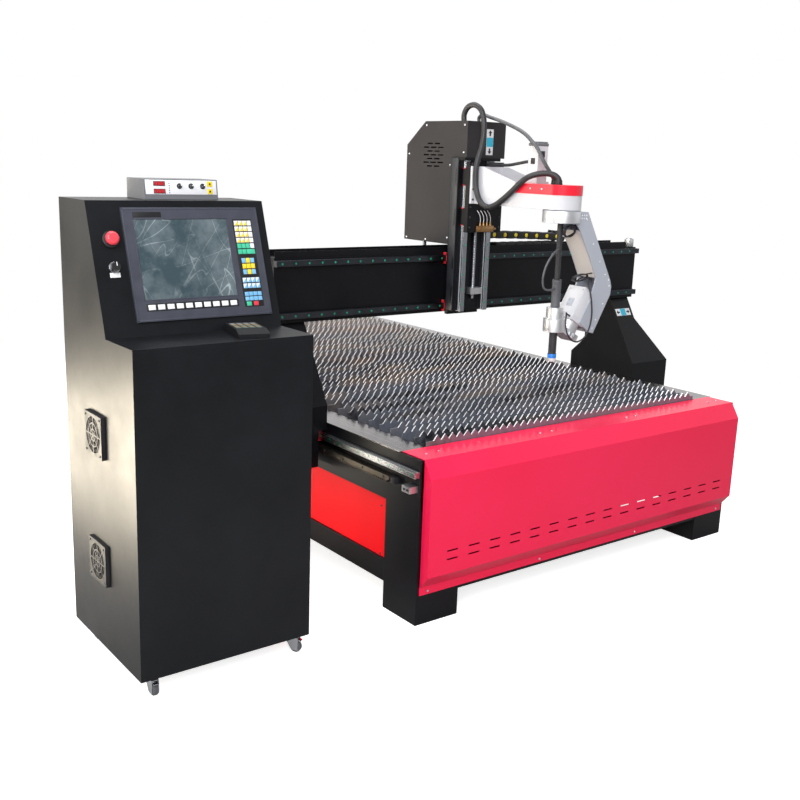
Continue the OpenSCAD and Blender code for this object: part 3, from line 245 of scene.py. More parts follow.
def add(tree, kind, links=None, **settings):
    """Adds a shader node with its settings.

    Links gives its inputs, each a value, another node's output or a node, which stands for its first output.
    """
    new = tree.nodes.new("ShaderNode" + kind)
    for name, value in settings.items():
        setattr(new, name, value)
    for name, value in (links or {}).items():
        if isinstance(value, bpy.types.Node):
            value = value.outputs[0]
        if isinstance(value, bpy.types.NodeSocket):
            tree.links.new(value, new.inputs[name])
        else:
            new.inputs[name].default_value = value
    return new


def finish(name, code, roughness, metallic=0.0, **sockets):
    """A new material with its constant values on the shader's own sockets."""
    material = bpy.data.materials.new(name)
    material.use_nodes = True
    tree = material.node_tree
    shader = tree.nodes["Principled BSDF"]
    shader.inputs["Base Color"].default_value = colour(code)
    shader.inputs["Roughness"].default_value = roughness
    shader.inputs["Metallic"].default_value = metallic
    for socket, value in sockets.items():
        shader.inputs[socket.replace("_", " ").title().replace("Ior", "IOR")].default_value = value
    coords = add(tree, "TexCoord").outputs["Object"]
    return material, tree, shader, coords


def tint(tree, shader, factor, low, high):
    """Runs the base colour between two hex codes."""
    mix = add(tree, "Mix", {0: factor, 6: colour(low), 7: colour(high)}, data_type="RGBA")
    tree.links.new(mix.outputs[2], shader.inputs["Base Color"])


def spread(tree, value, low, high, from_low=0.3, from_high=0.7):
    """A texture's middle range stretched to a new range."""
    return add(tree, "MapRange", {"Value": value, "From Min": from_low, "From Max": from_high,
                                  "To Min": low, "To Max": high}).outputs["Result"]


def gloss(tree, shader, value, low, high, from_low=0.3, from_high=0.7):
    """Runs the roughness between two values."""
    tree.links.new(spread(tree, value, low, high, from_low, from_high), shader.inputs["Roughness"])


def relief(tree, shader, height, depth_mm, strength, edge_mm=0.0):
    """Bump from a height in 0 to 1, over edges that are rounded where edge_mm is given."""
    bump = add(tree, "Bump", {"Height": height, "Distance": depth_mm * MM, "Strength": strength})
    if edge_mm:
        rounded = add(tree, "Bevel", {"Radius": edge_mm * MM}, samples=4)
        tree.links.new(rounded.outputs["Normal"], bump.inputs["Normal"])
    tree.links.new(bump.outputs["Normal"], shader.inputs["Normal"])


# finishes

def skin(name, code, pale, roughness, slow, swing, fine_mm, depth_mm, strength, edge_mm, **sockets):
    """A coat or a moulded skin: slow patches shift its shade and gloss, and a fine grain gives it relief."""
    material, tree, shader, coords = finish(name, code, roughness, **sockets)
    patches = add(tree, "TexNoise", {"Vector": coords, **slow})
    tint(tree, shader, spread(tree, patches, 0, 1), code, pale)
    grain = add(tree, "TexNoise", {"Vector": coords, "Scale": cells(fine_mm), "Detail": 2.0})
    gloss(tree, shader, patches, roughness - swing[0], roughness + swing[1])
    relief(tree, shader, grain, depth_mm, strength, edge_mm)
    return material


def powder_coat(name, code, pale, roughness=0.4, specular=0.24):
    """Baked polyester powder on steel: satin, with a fine orange peel and a thin dusty haze."""
    haze = {"Scale": cells(250), "Detail": 6.0, "Roughness": 0.65}
    # the peel is of about 2 mm, drawn at 4 mm so that it shows
    return skin(name, code, pale, roughness, haze, (0.06, 0.08), 4, 0.12, 0.5, 1.6,
                specular_ior_level=specular)


def gloss_paint(name, code, pale, roughness=0.28, specular=0.3, coat=0.12):
    """Two-pack enamel sprayed on sheet: a wet gloss with slow waves in the sheet behind it."""
    waves = {"Scale": cells(625), "Detail": 3.0}
    # the spray's own peel is finer, and is drawn at 6 mm so that it shows
    return skin(name, code, pale, roughness, waves, (0.05, 0.07), 6.25, 0.1, 0.4, 1.5,
                specular_ior_level=specular, coat_weight=coat, coat_roughness=0.12)


def moulded(name, code, pale, roughness=0.45, grit_mm=1.5, depth_mm=0.08, **sockets):
    """Moulded plastic or rubber: an even fine grit from the tool, a little uneven in gloss."""
    rub = {"Scale": cells(45.5), "Detail": 4.0}
    # real grit is well under a millimetre, and is drawn at 1.5 to 3 mm so that it shows
    return skin(name, code, pale, roughness, rub, (0.05, 0.08), grit_mm, depth_mm, 0.5, 0.6, **sockets)


def brushed_metal(name, code, pale, roughness, grain_mm, tooth=0.16):
    """Machined or drawn metal: fine lines along its length, so the gloss spreads across them.

    The size of the grain is given along X, Y and Z, coarser than real tool marks so that it shows.
    """
    material, tree, shader, coords = finish(name, code, roughness, metallic=1.0)
    lines = add(tree, "Mapping", {"Vector": coords, "Scale": [cells(size) for size in grain_mm]})
    grain = add(tree, "TexNoise", {"Vector": lines, "Scale": 1.0, "Detail": 4.0})
    stain = add(tree, "TexNoise", {"Vector": coords, "Scale": cells(111), "Detail": 5.0})
    tint(tree, shader, spread(tree, stain, 0, 1), code, pale)
    gloss(tree, shader, grain, roughness - 0.09, roughness + 0.09)
    relief(tree, shader, grain, 0.05, tooth, 0.8)
    return material


def galvanised_sheet():
    """Hot-dip zinc on sheet: bright crystals some 17 mm across, each with its own shade."""
    material, tree, shader, coords = finish("galvanised_sheet", "#C4C6CE", 0.36, metallic=1.0)
    crystals = add(tree, "TexVoronoi", {"Vector": coords, "Scale": cells(16.7)})
    shade = add(tree, "SeparateColor", {"Color": crystals.outputs["Color"]})
    tint(tree, shader, shade.outputs[0], "#B3B5C0", "#DADBE2")
    gloss(tree, shader, shade.outputs[1], 0.28, 0.46, 0, 1)
    dust = add(tree, "TexNoise", {"Vector": coords, "Scale": cells(33.3), "Detail": 5.0})
    relief(tree, shader, dust, 0.15, 0.3, 0.8)
    return material


def slat_steel():
    """Sheared mill steel: each slat with its own shade of scale and tan rust in patches, the far slats
    painted paler as painted light from the back, and a painted highlight on the sheared faces of the teeth.
    """
    material, tree, shader, coords = finish("slat_steel", "#5F6672", 0.42, metallic=0.55)
    # one shade to a slat, drifting slowly along it
    along = add(tree, "Mapping", {"Vector": coords, "Scale": (cells(909), cells(SLAT_PITCH), 0.0)})
    batch = add(tree, "TexNoise", {"Vector": along, "Scale": 1.0, "Detail": 2.0})
    grain = add(tree, "TexNoise", {"Vector": coords, "Scale": cells(16.7), "Detail": 5.0})
    shade = spread(tree, batch, 0, 1, 0.36, 0.5)
    dark = add(tree, "Mix", {0: shade, 6: colour("#272628"), 7: colour("#7B8190")}, data_type="RGBA")
    scaly = spread(tree, grain, 0, 0.5)
    scale = add(tree, "Mix", {0: scaly, 6: dark.outputs[2], 7: colour("#999DA9")}, data_type="RGBA")
    patches = add(tree, "TexNoise", {"Vector": along, "Scale": 2.3, "Detail": 5.0})
    # rust gathers from a little behind the front edge
    place = add(tree, "SeparateXYZ", {"Vector": coords})
    behind = spread(tree, place.outputs["Y"], 0.2, 1, -1.3, -0.4)
    spotted = spread(tree, patches, 0, 0.9, 0.48, 0.62)
    rusted = add(tree, "Math", {0: spotted, 1: behind}, operation="MULTIPLY")
    rust = add(tree, "Mix", {0: rusted, 6: scale.outputs[2], 7: colour("#AE9681")}, data_type="RGBA")
    # and the far slats are painted paler, as painted light from the back
    far = spread(tree, place.outputs["Y"], 0, 0.5, -0.5, 0.8)
    rear_painted_light = add(tree, "Mix", {0: far, 6: rust.outputs[2], 7: colour("#C9BCB2")}, data_type="RGBA")
    # the sheared faces of the teeth, tilted both along the slat and up, are painted near white as a painted
    # highlight
    facing = add(tree, "SeparateXYZ", {"Vector": coords.node.outputs["Normal"]})
    slope = add(tree, "Math", {0: facing.outputs["X"], 1: facing.outputs["Z"]}, operation="MULTIPLY")
    steep = add(tree, "Math", {0: slope}, operation="ABSOLUTE")
    painted_glint_mask = spread(tree, steep, 0, 1, 0.2, 0.4)
    bright = add(tree, "Mix", {0: painted_glint_mask, 6: rear_painted_light.outputs[2], 7: colour("#F2F2F4")}, data_type="RGBA")
    tree.links.new(bright.outputs[2], shader.inputs["Base Color"])
    gloss(tree, shader, patches, 0.34, 0.62, 0.45, 0.68)
    relief(tree, shader, grain, 0.2, 0.4)
    return material


def display_film():
    """A display under a loose clear film: grey-blue glass, a little cloudy, with many fine creases."""
    material, tree, shader, coords = finish("display_film", "#3C4C55", 0.16, coat_weight=0.5,
                                            coat_roughness=0.1)
    cloud = add(tree, "TexNoise", {"Vector": coords, "Scale": cells(167), "Detail": 6.0, "Roughness": 0.65})
    lifted = spread(tree, cloud, 0, 1, 0.4, 0.66)
    haze = add(tree, "Math", {0: lifted, 1: 0.24}, operation="MULTIPLY")
    pale, height = haze, cloud
    # a crease runs where a noise drawn out one way passes its middle, and fades out with the cloud
    fold_l = 500 * MM
    for turn, fold_w in ((0.6, 70 * MM), (-0.35, 50 * MM), (1.2, 60 * MM)):
        laid = add(tree, "Mapping", {"Vector": coords, "Rotation": (0.0, turn, 0.0),
                                     "Scale": (fold_w, fold_l, fold_l)}, vector_type="TEXTURE")
        folds = add(tree, "TexNoise", {"Vector": laid, "Scale": 1.0, "Detail": 1.0})
        middle = add(tree, "Math", {0: folds, 1: 0.5}, operation="SUBTRACT")
        away = add(tree, "Math", {0: middle}, operation="ABSOLUTE")
        line = spread(tree, away, 0.75, 0, 0.001, 0.008)
        crease = add(tree, "Math", {0: line, 1: lifted}, operation="MULTIPLY")
        pale = add(tree, "Math", {0: pale, 1: crease}, operation="MAXIMUM")
        height = add(tree, "Math", {0: height, 1: line}, operation="ADD")
    tint(tree, shader, pale, "#33444C", "#BCC9CE")
    relief(tree, shader, height, 0.5, 0.6)
    return material


def bare_label(name, code):
    """Printed film on a plate: flat colour with a faint print grain."""
    material, tree, shader, coords = finish(name, code, 0.42)
    # the print's own dots are finer, and are drawn at 2 mm so that they show
    grain = add(tree, "TexNoise", {"Vector": coords, "Scale": cells(2), "Detail": 2.0})
    gloss(tree, shader, grain, 0.36, 0.5)
    relief(tree, shader, grain, 0.03, 0.3)
    return material


def lit_segments():
    """The dark red filter of a number display, a little uneven where the light behind it shows."""
    material, tree, shader, coords = finish("lit_segments", "#8E1A22", 0.2)
    glow = add(tree, "TexNoise", {"Vector": coords, "Scale": cells(3.33), "Detail": 2.0})
    tint(tree, shader, spread(tree, glow, 0, 1), "#7C151D", "#B8303A")
    relief(tree, shader, glow, 0.04, 0.3)
    return material


black_coat = powder_coat("black_powder_coat", "#0C0D10", "#131418", 0.36, 0.2)
console_coat = powder_coat("console_powder_coat", "#0D0F12", "#15171B", 0.36)
cover_coat = powder_coat("charcoal_powder_coat", "#282628", "#323032", 0.5)
front_red = gloss_paint("pink_red_enamel", "#F21548", "#F51E51", 0.32)
side_red = gloss_paint("red_enamel", "#F9121C", "#FB1822", 0.36, 0.12, 0.0)
cover_red = gloss_paint("head_red_enamel", "#EA2136", "#EE2A40", 0.3)
white_paint = gloss_paint("white_enamel", "#CBCCD2", "#D3D4D9", 0.32)
arm_paint = gloss_paint("silver_grey_paint", "#A8ADB8", "#B0B5BF", 0.36)
zinc = galvanised_sheet()
slat_finish = slat_steel()
strip_steel = brushed_metal("rolled_strip_steel", "#7E7B7C", "#8F8B8A", 0.22, (3.33, 500, 3.33), 0.01)
tray_steel = brushed_metal("black_mill_steel", "#33363B", "#4A4640", 0.55, (33.3, 3.33, 3.33))
rail_steel_y = brushed_metal("ground_rail_steel", "#B0B4B8", "#C4C7CB", 0.28, (1.11, 167, 1.11), 0.03)
rail_steel_x = brushed_metal("ground_cross_rail_steel", "#3E4247", "#50545A", 0.36, (167, 1.11, 1.11), 0.03)
rail_steel_z = brushed_metal("ground_upright_rail_steel", "#A4A8AF", "#BCC0C6", 0.26, (1.11, 1.11, 167), 0.03)
rack_steel = brushed_metal("oiled_rack_steel", "#59544D", "#6B655C", 0.45, (2.5, 16.7, 2.5))
gear_steel = brushed_metal("hobbed_gear_steel", "#7B8087", "#92979E", 0.36, (2.5, 2.5, 16.7))
aluminium = brushed_metal("machined_aluminium", "#D0D2D6", "#DDDFE2", 0.36, (1.43, 1.43, 50))
block_steel = brushed_metal("bearing_block_steel", "#7D828A", "#9599A1", 0.34, (3.33, 3.33, 3.33))
turned_aluminium = brushed_metal("turned_aluminium", "#E0E1E5", "#E9EAEC", 0.46, (50, 50, 0.625))
holder_aluminium = brushed_metal("milled_holder_aluminium", "#D6D8DD", "#E4E5E8", 0.52, (50, 50, 0.625))
anodised_panel = gloss_paint("clear_anodised_panel", "#C2BDB9", "#CFCAC6", 0.4)
chrome = brushed_metal("chrome_plate", "#CDD0D5", "#DADCE0", 0.14, (11.1, 11.1, 11.1))
brass = brushed_metal("tan_brass", "#A9855A", "#B8956A", 0.38, (5, 5, 5))
nylon = moulded("black_nylon", "#18181A", "#222225", 0.5)
hose_rubber = moulded("black_hose_rubber", "#232326", "#2E2E32", 0.48, 2.0, 0.15)
grey_sleeve = moulded("grey_sleeve_rubber", "#4C4D52", "#58595E", 0.5, 2.0, 0.15)
bezel_plastic = moulded("slate_bezel_plastic", "#383B46", "#3F424E", 0.42)
stop_plastic = moulded("red_button_plastic", "#E8404C", "#EE4B57", 0.3, 2.0, 0.05)
wheel_rubber = moulded("grey_tread_rubber", "#4A4C51", "#5A5C61", 0.55)
motor_paint = moulded("black_motor_paint", "#26282C", "#313338", 0.42)
grey_paint = powder_coat("grey_box_paint", "#66686D", "#707277", 0.42, 0.3)
torch_plastic = moulded("torch_phenolic", "#2A2A2E", "#343438", 0.4)
ceramic = moulded("white_cup_ceramic", "#D9D8DA", "#E2E1E2", 0.35)
copper = brushed_metal("burnt_nozzle_copper", "#5A4236", "#6E5243", 0.4, (3.33, 3.33, 3.33))
blue_ring = moulded("blue_ring_nylon", "#1E78D8", "#2A84E2", 0.36)
seal_red = moulded("red_seal_plastic", "#D8262F", "#E2323B", 0.4)
cap_green = moulded("green_cap_plastic", "#0F8E66", "#17A077", 0.38)
cap_yellow = moulded("yellow_cap_plastic", "#E8D21E", "#F0DC2E", 0.4)
film = display_film()
segments = lit_segments()
label_white = bare_label("white_label_film", "#E6E7EB")
label_black = bare_label("black_label_film", "#141519")
label_blue = bare_label("blue_label_film", "#2FB4D4")
key_white = moulded("white_key_film", "#E4E5EA", "#EEEFF2", 0.4, 3.0, 0.03)
key_yellow = moulded("yellow_key_film", "#EBCB22", "#F2D63A", 0.4, 3.0, 0.03)
key_green = moulded("green_key_film", "#35B48B", "#48C29B", 0.4, 3.0, 0.03)
key_blue = moulded("blue_key_film", "#6FB0DC", "#82BDE4", 0.4, 3.0, 0.03)
remote_green = moulded("dull_green_rubber_key", "#4E6660", "#5A726B", 0.5, 3.0, 0.03)
remote_tan = moulded("dull_tan_rubber_key", "#8A7350", "#97805C", 0.5, 3.0, 0.03)
remote_grey = moulded("grey_rubber_key", "#7C7F84", "#888B90", 0.5, 3.0, 0.03)
remote_black = moulded("black_handset_abs", "#16171A", "#1D1E21", 0.6, 1.5, 0.08, specular_ior_level=0.15)
key_red = moulded("red_key_film", "#D73646", "#E24656", 0.4, 3.0, 0.03)

NODE_FINISH = {
    black_coat: ["table_frame", "gantry_feet", "gantry_beam", "carriage_plate", "z_base", "z_slide_plate"],
    console_coat: ["console_cabinet", "console_rear_panel"],
    front_red: ["front_panel", "rear_panel"],
    side_red: ["side_panels"],
    strip_steel: ["top_strips"],
    zinc: ["electrical_plate"],
    slat_finish: ["slats"],
    tray_steel: ["slag_tray"],
    rail_steel_y: ["y_rails"],
    rail_steel_x: ["x_rails"],
    rail_steel_z: ["z_rails"],
    block_steel: ["x_bearings", "y_bearings"],
    rack_steel: ["y_racks"],
    gear_steel: ["y_pinions", "x_rack", "x_pinion"],
    aluminium: ["end_stops", "screw_bearings"],
    holder_aluminium: ["torch_holder"],
    bezel_plastic: ["control_unit"],
    film: ["control_screen"],
    remote_black: ["remote_handset"],
    nylon: ["switch_collars", "fan_frames", "selector_knob", "fan_rotor_upper", "fan_rotor_lower"],
    grey_paint: ["thc_box"],
    stop_plastic: ["estop_button"],
    chrome: ["thc_toggle_left", "thc_toggle_middle", "thc_toggle_right",
             "caster_fork_front_left", "caster_fork_front_right", "caster_forks_rear"],
    wheel_rubber: ["caster_wheel_%s_%s" % (end, side)
                   for end in ("front", "rear") for side in ("left", "right")],
    motor_paint: ["y_motors", "carriage_motors"],
    cover_coat: ["carriage_cover"],
    white_paint: ["head_bracket", "tilt_motor", "a_motor"],
    cover_red: ["head_cover"],
    arm_paint: ["bevel_arm"],
    torch_plastic: ["torch"],
}
for material, names in NODE_FINISH.items():
    for name in names:
        data = nodes[name].data
        data.materials.clear()
        data.materials.append(material)


# camera, light and floor

WHITE = (1, 1, 1, 1)


def make_camera():
    """The photograph's view, fitted to the table's corners."""
    yaw, pitch, roll = (math.radians(a) for a in (-37.553, 13.249, 2.009))
    ahead = Vector((-math.sin(yaw), math.cos(yaw), 0))
    right = Vector((math.cos(yaw), math.sin(yaw), 0))
    up = Vector(UP)
    look = math.cos(pitch) * ahead - math.sin(pitch) * up
    head = math.sin(pitch) * ahead + math.cos(pitch) * up
    side = math.cos(roll) * right + math.sin(roll) * head
    top = math.cos(roll) * head - math.sin(roll) * right
    data = bpy.data.cameras.new("camera")
    data.lens = 45.62
    data.sensor_width = 36.0
    data.clip_end = 60.0
    camera = bpy.data.objects.new("camera", data)
    bpy.context.collection.objects.link(camera)
    eye = TABLE @ Vector((-2.039, -2.5234, 1.5675))
    camera.matrix_world = Matrix.Translation(eye) @ Matrix((side, top, -look)).transposed().to_4x4()
    bpy.context.scene.camera = camera


def make_light():
    """Four soft boxes, a warm card on the floor and an even room that the camera sees as white."""
    for name, place, target, wide, deep, power, shade in (
            ("key_box", (-3200, -2900, 3600), (400, 900, 600), 4.0, 4.0, 340, "#FFFFFF"),
            ("top_box", (300, 2300, 5000), (500, 1900, 600), 4.5, 4.5, 220, "#FFFFFF"),
            ("left_box", (-4600, 3600, 1900), (-700, 400, 800), 3.0, 3.0, 150, "#FFF6E4"),
            ("floor_card", (-1800, 2300, 30), (-1600, 2300, 1000), 2.6, 1.4, 230, "#FFF2DA"),
            ("side_box", (4600, -1800, 2600), (800, 900, 600), 3.5, 3.5, 20, "#FFFFFF")):
        data = bpy.data.lights.new(name, "AREA")
        data.shape = "RECTANGLE"
        data.size = wide
        data.size_y = deep
        data.energy = power
        data.color = colour(shade)[:3]
        lamp = bpy.data.objects.new(name, data)
        bpy.context.collection.objects.link(lamp)
        start = spot(*place)
        aim = (spot(*target) - start).to_track_quat("-Z", "Y")
        lamp.matrix_world = Matrix.Translation(start) @ aim.to_matrix().to_4x4()
    world = bpy.data.worlds.new("studio")
    world.use_nodes = True
    bpy.context.scene.world = world
    tree = world.node_tree
    seen = add(tree, "LightPath")
    from_camera, through = seen.outputs["Is Camera Ray"], seen.outputs["Is Transmission Ray"]
    direct = add(tree, "Math", {0: from_camera, 1: through}, operation="MAXIMUM")
    room = add(tree, "Background", {"Color": WHITE, "Strength": 0.36})
    # reflections find the bright wall behind the object, and a dim room elsewhere
    way = add(tree, "TexCoord")
    back = add(tree, "VectorMath", {0: way.outputs["Generated"], 1: (0.6, 0.8, 0.0)},
               operation="DOT_PRODUCT")
    wall = spread(tree, back.outputs["Value"], 0.36, 1.0, 0.4, 0.8)
    soft = add(tree, "Background", {"Color": WHITE, "Strength": wall})
    white = add(tree, "Background", {"Color": WHITE, "Strength": 1.0})
    mirror = add(tree, "MixShader", {0: seen.outputs["Is Glossy Ray"], 1: room, 2: soft})
    mix = add(tree, "MixShader", {0: direct, 1: mirror, 2: white})
    tree.links.new(mix.outputs[0], tree.nodes["World Output"].inputs["Surface"])


def make_floor():
    """A pale floor that keeps the shadow and runs out into white."""
    clear()
    bpy.ops.mesh.primitive_plane_add(size=40, location=(0, 0, -0.0005))
    floor = bpy.context.object
    floor.name = "floor"
    material = bpy.data.materials.new("pale_floor_paint")
    material.use_nodes = True
    tree = material.node_tree
    shader = tree.nodes["Principled BSDF"]
    shader.inputs["Base Color"].default_value = (0.86, 0.86, 0.86, 1)
    shader.inputs["Roughness"].default_value = 0.9
    seen = add(tree, "LightPath")
    lift = add(tree, "Emission", {"Color": WHITE, "Strength": 0.75})
    near = add(tree, "AddShader", {0: shader, 1: lift})
    # from 2.4 m out the floor runs into the white background
    place = add(tree, "TexCoord")
    out = add(tree, "VectorMath", {0: place.outputs["Object"]}, operation="LENGTH")
    white = add(tree, "Emission", {"Color": WHITE, "Strength": 1.0})
    far = spread(tree, out.outputs["Value"], 0, 1, 2.4, 4.4)
    fade = add(tree, "MixShader", {0: far, 1: near, 2: white})
    # the object itself is lit by a darker floor, so that its blacks stay black
    dim = add(tree, "BsdfDiffuse", {"Color": (0.45, 0.45, 0.45, 1)})
    mix = add(tree, "MixShader", {0: seen.outputs["Is Camera Ray"], 1: dim, 2: fade})
    tree.links.new(mix.outputs[0], tree.nodes["Material Output"].inputs["Surface"])
    floor.data.materials.append(material)


make_camera()
make_light()
make_floor()
bpy.context.scene.view_settings.view_transform = "Standard"


# hoses and cables: the first six follow the routes of the CAD solids, the curls are in the scene alone

def smooth_route(points, steps=6):
    """A smooth line through the route's points, in the part's frame, in metres."""
    p = [spot(*q) for q in points]
    line = []
    for i in range(len(p) - 1):
        a, b, c, d = p[max(i - 1, 0)], p[i], p[i + 1], p[min(i + 2, len(p) - 1)]
        for k in range(steps):
            t = k / steps
            line.append(0.5 * (2 * b + (c - a) * t + (2 * a - 5 * b + 4 * c - d) * t * t
                               + (3 * b - a - 3 * c + d) * t ** 3))
    return line + [p[-1]]


def hose(name, points, thick, material, stands_for):
    """A round hose along a route."""
    line = smooth_route(points)
    obj = tube(name, line, thick * MM, 4, True)
    dress(obj, name, material, None, Matrix(), stands_for, 60)
    return obj


torch_lead = hose("torch_lead", [
    (672, 650, 1731), (672, 650, 1758), (674, 632, 1784), (678, 597, 1792), (683, 563, 1772),
    (684, 545, 1730), (680, 538, 1680), (670, 536, 1630), (656, 535, 1592), (647, 534, 1560),
    (645, 533, 1520), (645, 526, 1470), (645, 500, 1425), (645, 455, 1406), (645, 410, 1417),
    (645, 365, 1443), (644, 322, 1472), (644, 285, 1500), (652, 253, 1524), (672, 228, 1537),
    (696, 204, 1542), (718, 182, 1537), (729, 169, 1524), (730, 168, 1514), (730, 168, 1503)],
    22, hose_rubber, ["upper_hoses"])
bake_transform(torch_lead)
gas_hose = hose("gas_hose", [
    (742, 640, 1731), (742, 640, 1748), (738, 612, 1758), (726, 560, 1748), (715, 504, 1737),
    (706, 440, 1722), (700, 370, 1701), (693, 318, 1681), (690, 277, 1655), (690, 250, 1634),
    (690, 229, 1608), (697, 217, 1584), (714, 209, 1558), (730, 202, 1534), (738, 199, 1515),
    (738, 199, 1503)], 14, grey_sleeve, ["upper_hoses"])
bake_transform(gas_hose)
motor_cable = hose("motor_cable", [
    (730, 318.5, 1583), (730, 345, 1581), (730, 390, 1574), (730, 440, 1567), (730, 500, 1566),
    (730, 545, 1568), (730, 563.5, 1568)], 12, hose_rubber, ["upper_hoses"])
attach(motor_cable, "slide")
lower_lead = hose("lower_lead", [
    (724, 137, 1440), (724, 137, 1400), (724, 137, 1350), (725, 138, 1300), (727, 139, 1250),
    (729, 140, 1210), (730, 141, 1180), (730, 141, 1157.5)], 22, hose_rubber, ["arm_hoses"])
arm_loop = hose("arm_loop", [
    (717, 132, 1270), (700, 124, 1267), (672, 119, 1248), (645, 118, 1212), (632, 118, 1168),
    (640, 119, 1132), (665, 122, 1122), (692, 128, 1122), (713.7, 135, 1124)],
    8, grey_sleeve, ["arm_hoses"])
for cord in (lower_lead, arm_loop):
    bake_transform(cord)
arm_cable = hose("arm_cable", [
    (876, 118, 1150), (862, 104, 1136), (858, 86, 1105), (864, 80, 1060), (868, 80, 1015), (858, 80, 970),
    (835, 80, 938), (800, 80, 925), (765, 80, 935), (738, 79, 965), (730, 82, 1000), (742, 92, 1026),
    (754, 104, 1034), (763, 112, 1031), (774, 112, 1025), (782, 112, 1020)],
    6, hose_rubber, ["arm_hoses"])
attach(arm_cable, "arm")


def curl(name, start, middle, wide, tall, lean, end):
    """Spare cable in two and a half turns, leaning back, between the two places that it joins."""
    turns, per_turn, deep = 2.5, 12, 13
    x, y, z = middle
    around = [2 * math.pi * step / per_turn for step in range(int(turns * per_turn) + 1)]
    loops = [(x - wide / 2 * math.sin(a), y + lean / 2 * (1 - math.cos(a)) + deep * a / around[-1],
              z + tall / 2 * math.cos(a)) for a in around]
    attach(hose(name, [start, *loops, end], 5, hose_rubber, []), "arm")


curl("disc_curl", (786, 108, 1362), (754, 106, 1336), 56, 40, 10, (788, 126, 1330))
curl("elbow_curl", (878, 105, 1179), (838, 104, 1161), 70, 30, 30, (880, 150, 1160))


# table: rail caps, screws of end stops, racks and panels, rack ends

def rail_cap(place, axis):
    """The plastic cap in a rail's screw hole."""
    return lathe([(4.2, 0), (4.2, 0.15), (3.4, 0.3)], place, axis, 10)


def both_sides(obj):
    """The piece on the table's left and its image on the right."""
    return mirrored(obj, "X", MIDDLE_X)


def both_ends(obj):
    """The piece at the table's front and its image at the rear."""
    return mirrored(obj, "Y", MIDDLE_Y)


caps = row(rail_cap((-22, 24, 549), LEFT), 52, (0, 61.9, 0))
dress(both_sides(caps), "table_rail_caps", cap_green, "machine")
stop_screws = screws([(-36, y, 494) for y in (24, 42)], LEFT, 4.5)
dress(both_ends(both_sides(stop_screws)), "end_stop_screws", motor_paint, "machine")
rack_screws = row(screw((-25, 178, 500), LEFT, 5.2), 24, (0, 124, 0))
dress(both_sides(rack_screws), "rack_screws", motor_paint, "machine")
rack_end = block((-22, 114, 486), (-0.3, 143.5, 509), 1.5)
dress(both_ends(both_sides(rack_end)), "rack_end_blocks", nylon, "machine")
flange_holes = [(60, 50), (119, 54), (600, 46), (662, 48), (1083, 46), (1136, 45), (1615, 50), (1673, 52)]
flange_screws = screws([(x, y, TABLE_TOP) for x, y in flange_holes], UP, 4.5)
lip_screws = screws([(x, -3, 122) for x in (48, 590, 1135, 1677)], FRONT, 4.5)
dress(both_ends(joined(flange_screws, lip_screws)), "panel_screws", zinc, "machine")
side_holes = [(14, y, z) for y in (232, 925, MIDDLE_Y, 2315, 3008) for z in (188, 369)]
dress(both_sides(screws(side_holes, LEFT, 4.2)), "side_panel_screws", motor_paint, "machine")

# front: a black strip under the panel's lip, and a black sheet behind the left vents that puts painted shade
# in their slots
LEG_INSIDE = 190.5
dark_strip = block((LEG_INSIDE, 1, 97), (2 * MIDDLE_X - LEG_INSIDE, 26, 140), 1.0)
dress(dark_strip, "front_dark_strip", black_coat, "machine")
vent_shade_sheet = block((LEG_INSIDE, 44, 150), (1088, 45.5, 330), 0.3)
dress(vent_shade_sheet, "vent_shade_sheet", black_coat, "machine")


# gantry: bearing seals, rail caps and the limit sensor

def seal(order, along, middle, widths, out, ease):
    """A U of red plastic round a rail, at the end of a bearing block.

    Order names the axes of its three spans: along the rail, across it and out from it.
    """
    across = [middle + width for width in widths]
    whole = (out[0], out[2])
    walls = []
    for wide, deep in ((across[:2], whole), (across[2:], whole), ((across[0], across[3]), out[:2])):
        spans = dict(zip(order, (along, wide, deep)))
        low, high = zip(spans["x"], spans["y"], spans["z"])
        walls.append(block(low, high, ease))
    return joined(*walls)


BLOCK_SEAL = (-23.5, -12.5, 12.5, 23.5)
SLIDE_SEAL = (-17, -12.5, 12.5, 17)
x_seals = [seal("xzy", (x, x + 4), z, BLOCK_SEAL, (690.5, 706.5, 724), 1)
           for z in BEAM_RAIL_Z for x in (656.4, 799.6)]
dress(x_seals, "carriage_block_seals", seal_red, "carriage")
y_seals = [seal("yzx", (y, y + 4), SIDE_BLOCK_Z, BLOCK_SEAL, (-39.5, -23.5, -6), 1)
           for y in (600, 688, 847, 935)]
dress(both_sides(joined(*y_seals)), "gantry_block_seals", seal_red, "gantry")
beam_caps = [row(rail_cap((-119.6, 708, z), FRONT), 34, (58.2, 0, 0)) for z in BEAM_RAIL_Z]
dress(beam_caps, "beam_rail_caps", cap_green, "gantry")
sensor = [block((1822, 732, 1202), (1854, 764, 1240), 2), block((1828, 736, 1240), (1848, 758, 1244), 1)]
dress(sensor, "limit_sensor", aluminium, "gantry")


# drag chain: a straight lower run, a drooping upper run from the carriage, and the bend between them

LINK_L = 55
LINK_SIDE = [(2, 2), (53, 2), (53, 9), (49, 17), (53, 25), (53, 32), (2, 32)]
UPPER_STEP = 64
BEND_X, BEND_Z, BEND_R = 1.360, 1.242, 0.021


def chain_link(x, z):
    """One link: two waisted side plates with cross bars over and under."""
    sides = [plate([(x + dx, y, z + dz) for dx, dz in LINK_SIDE], (0, 7, 0), 1) for y in (756, 807)]
    bars = [block((x + 16, 758, h), (x + 40, 812, h + 4), 0.8) for h in (z + 1, z + 29)]
    return joined(*sides, *bars)


def chain_run(obj, name, material):
    """Dresses a run of links on no body and bakes its place into its mesh."""
    dress(obj, name, material, None, stands_for=["drag_chain"])
    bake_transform(obj)


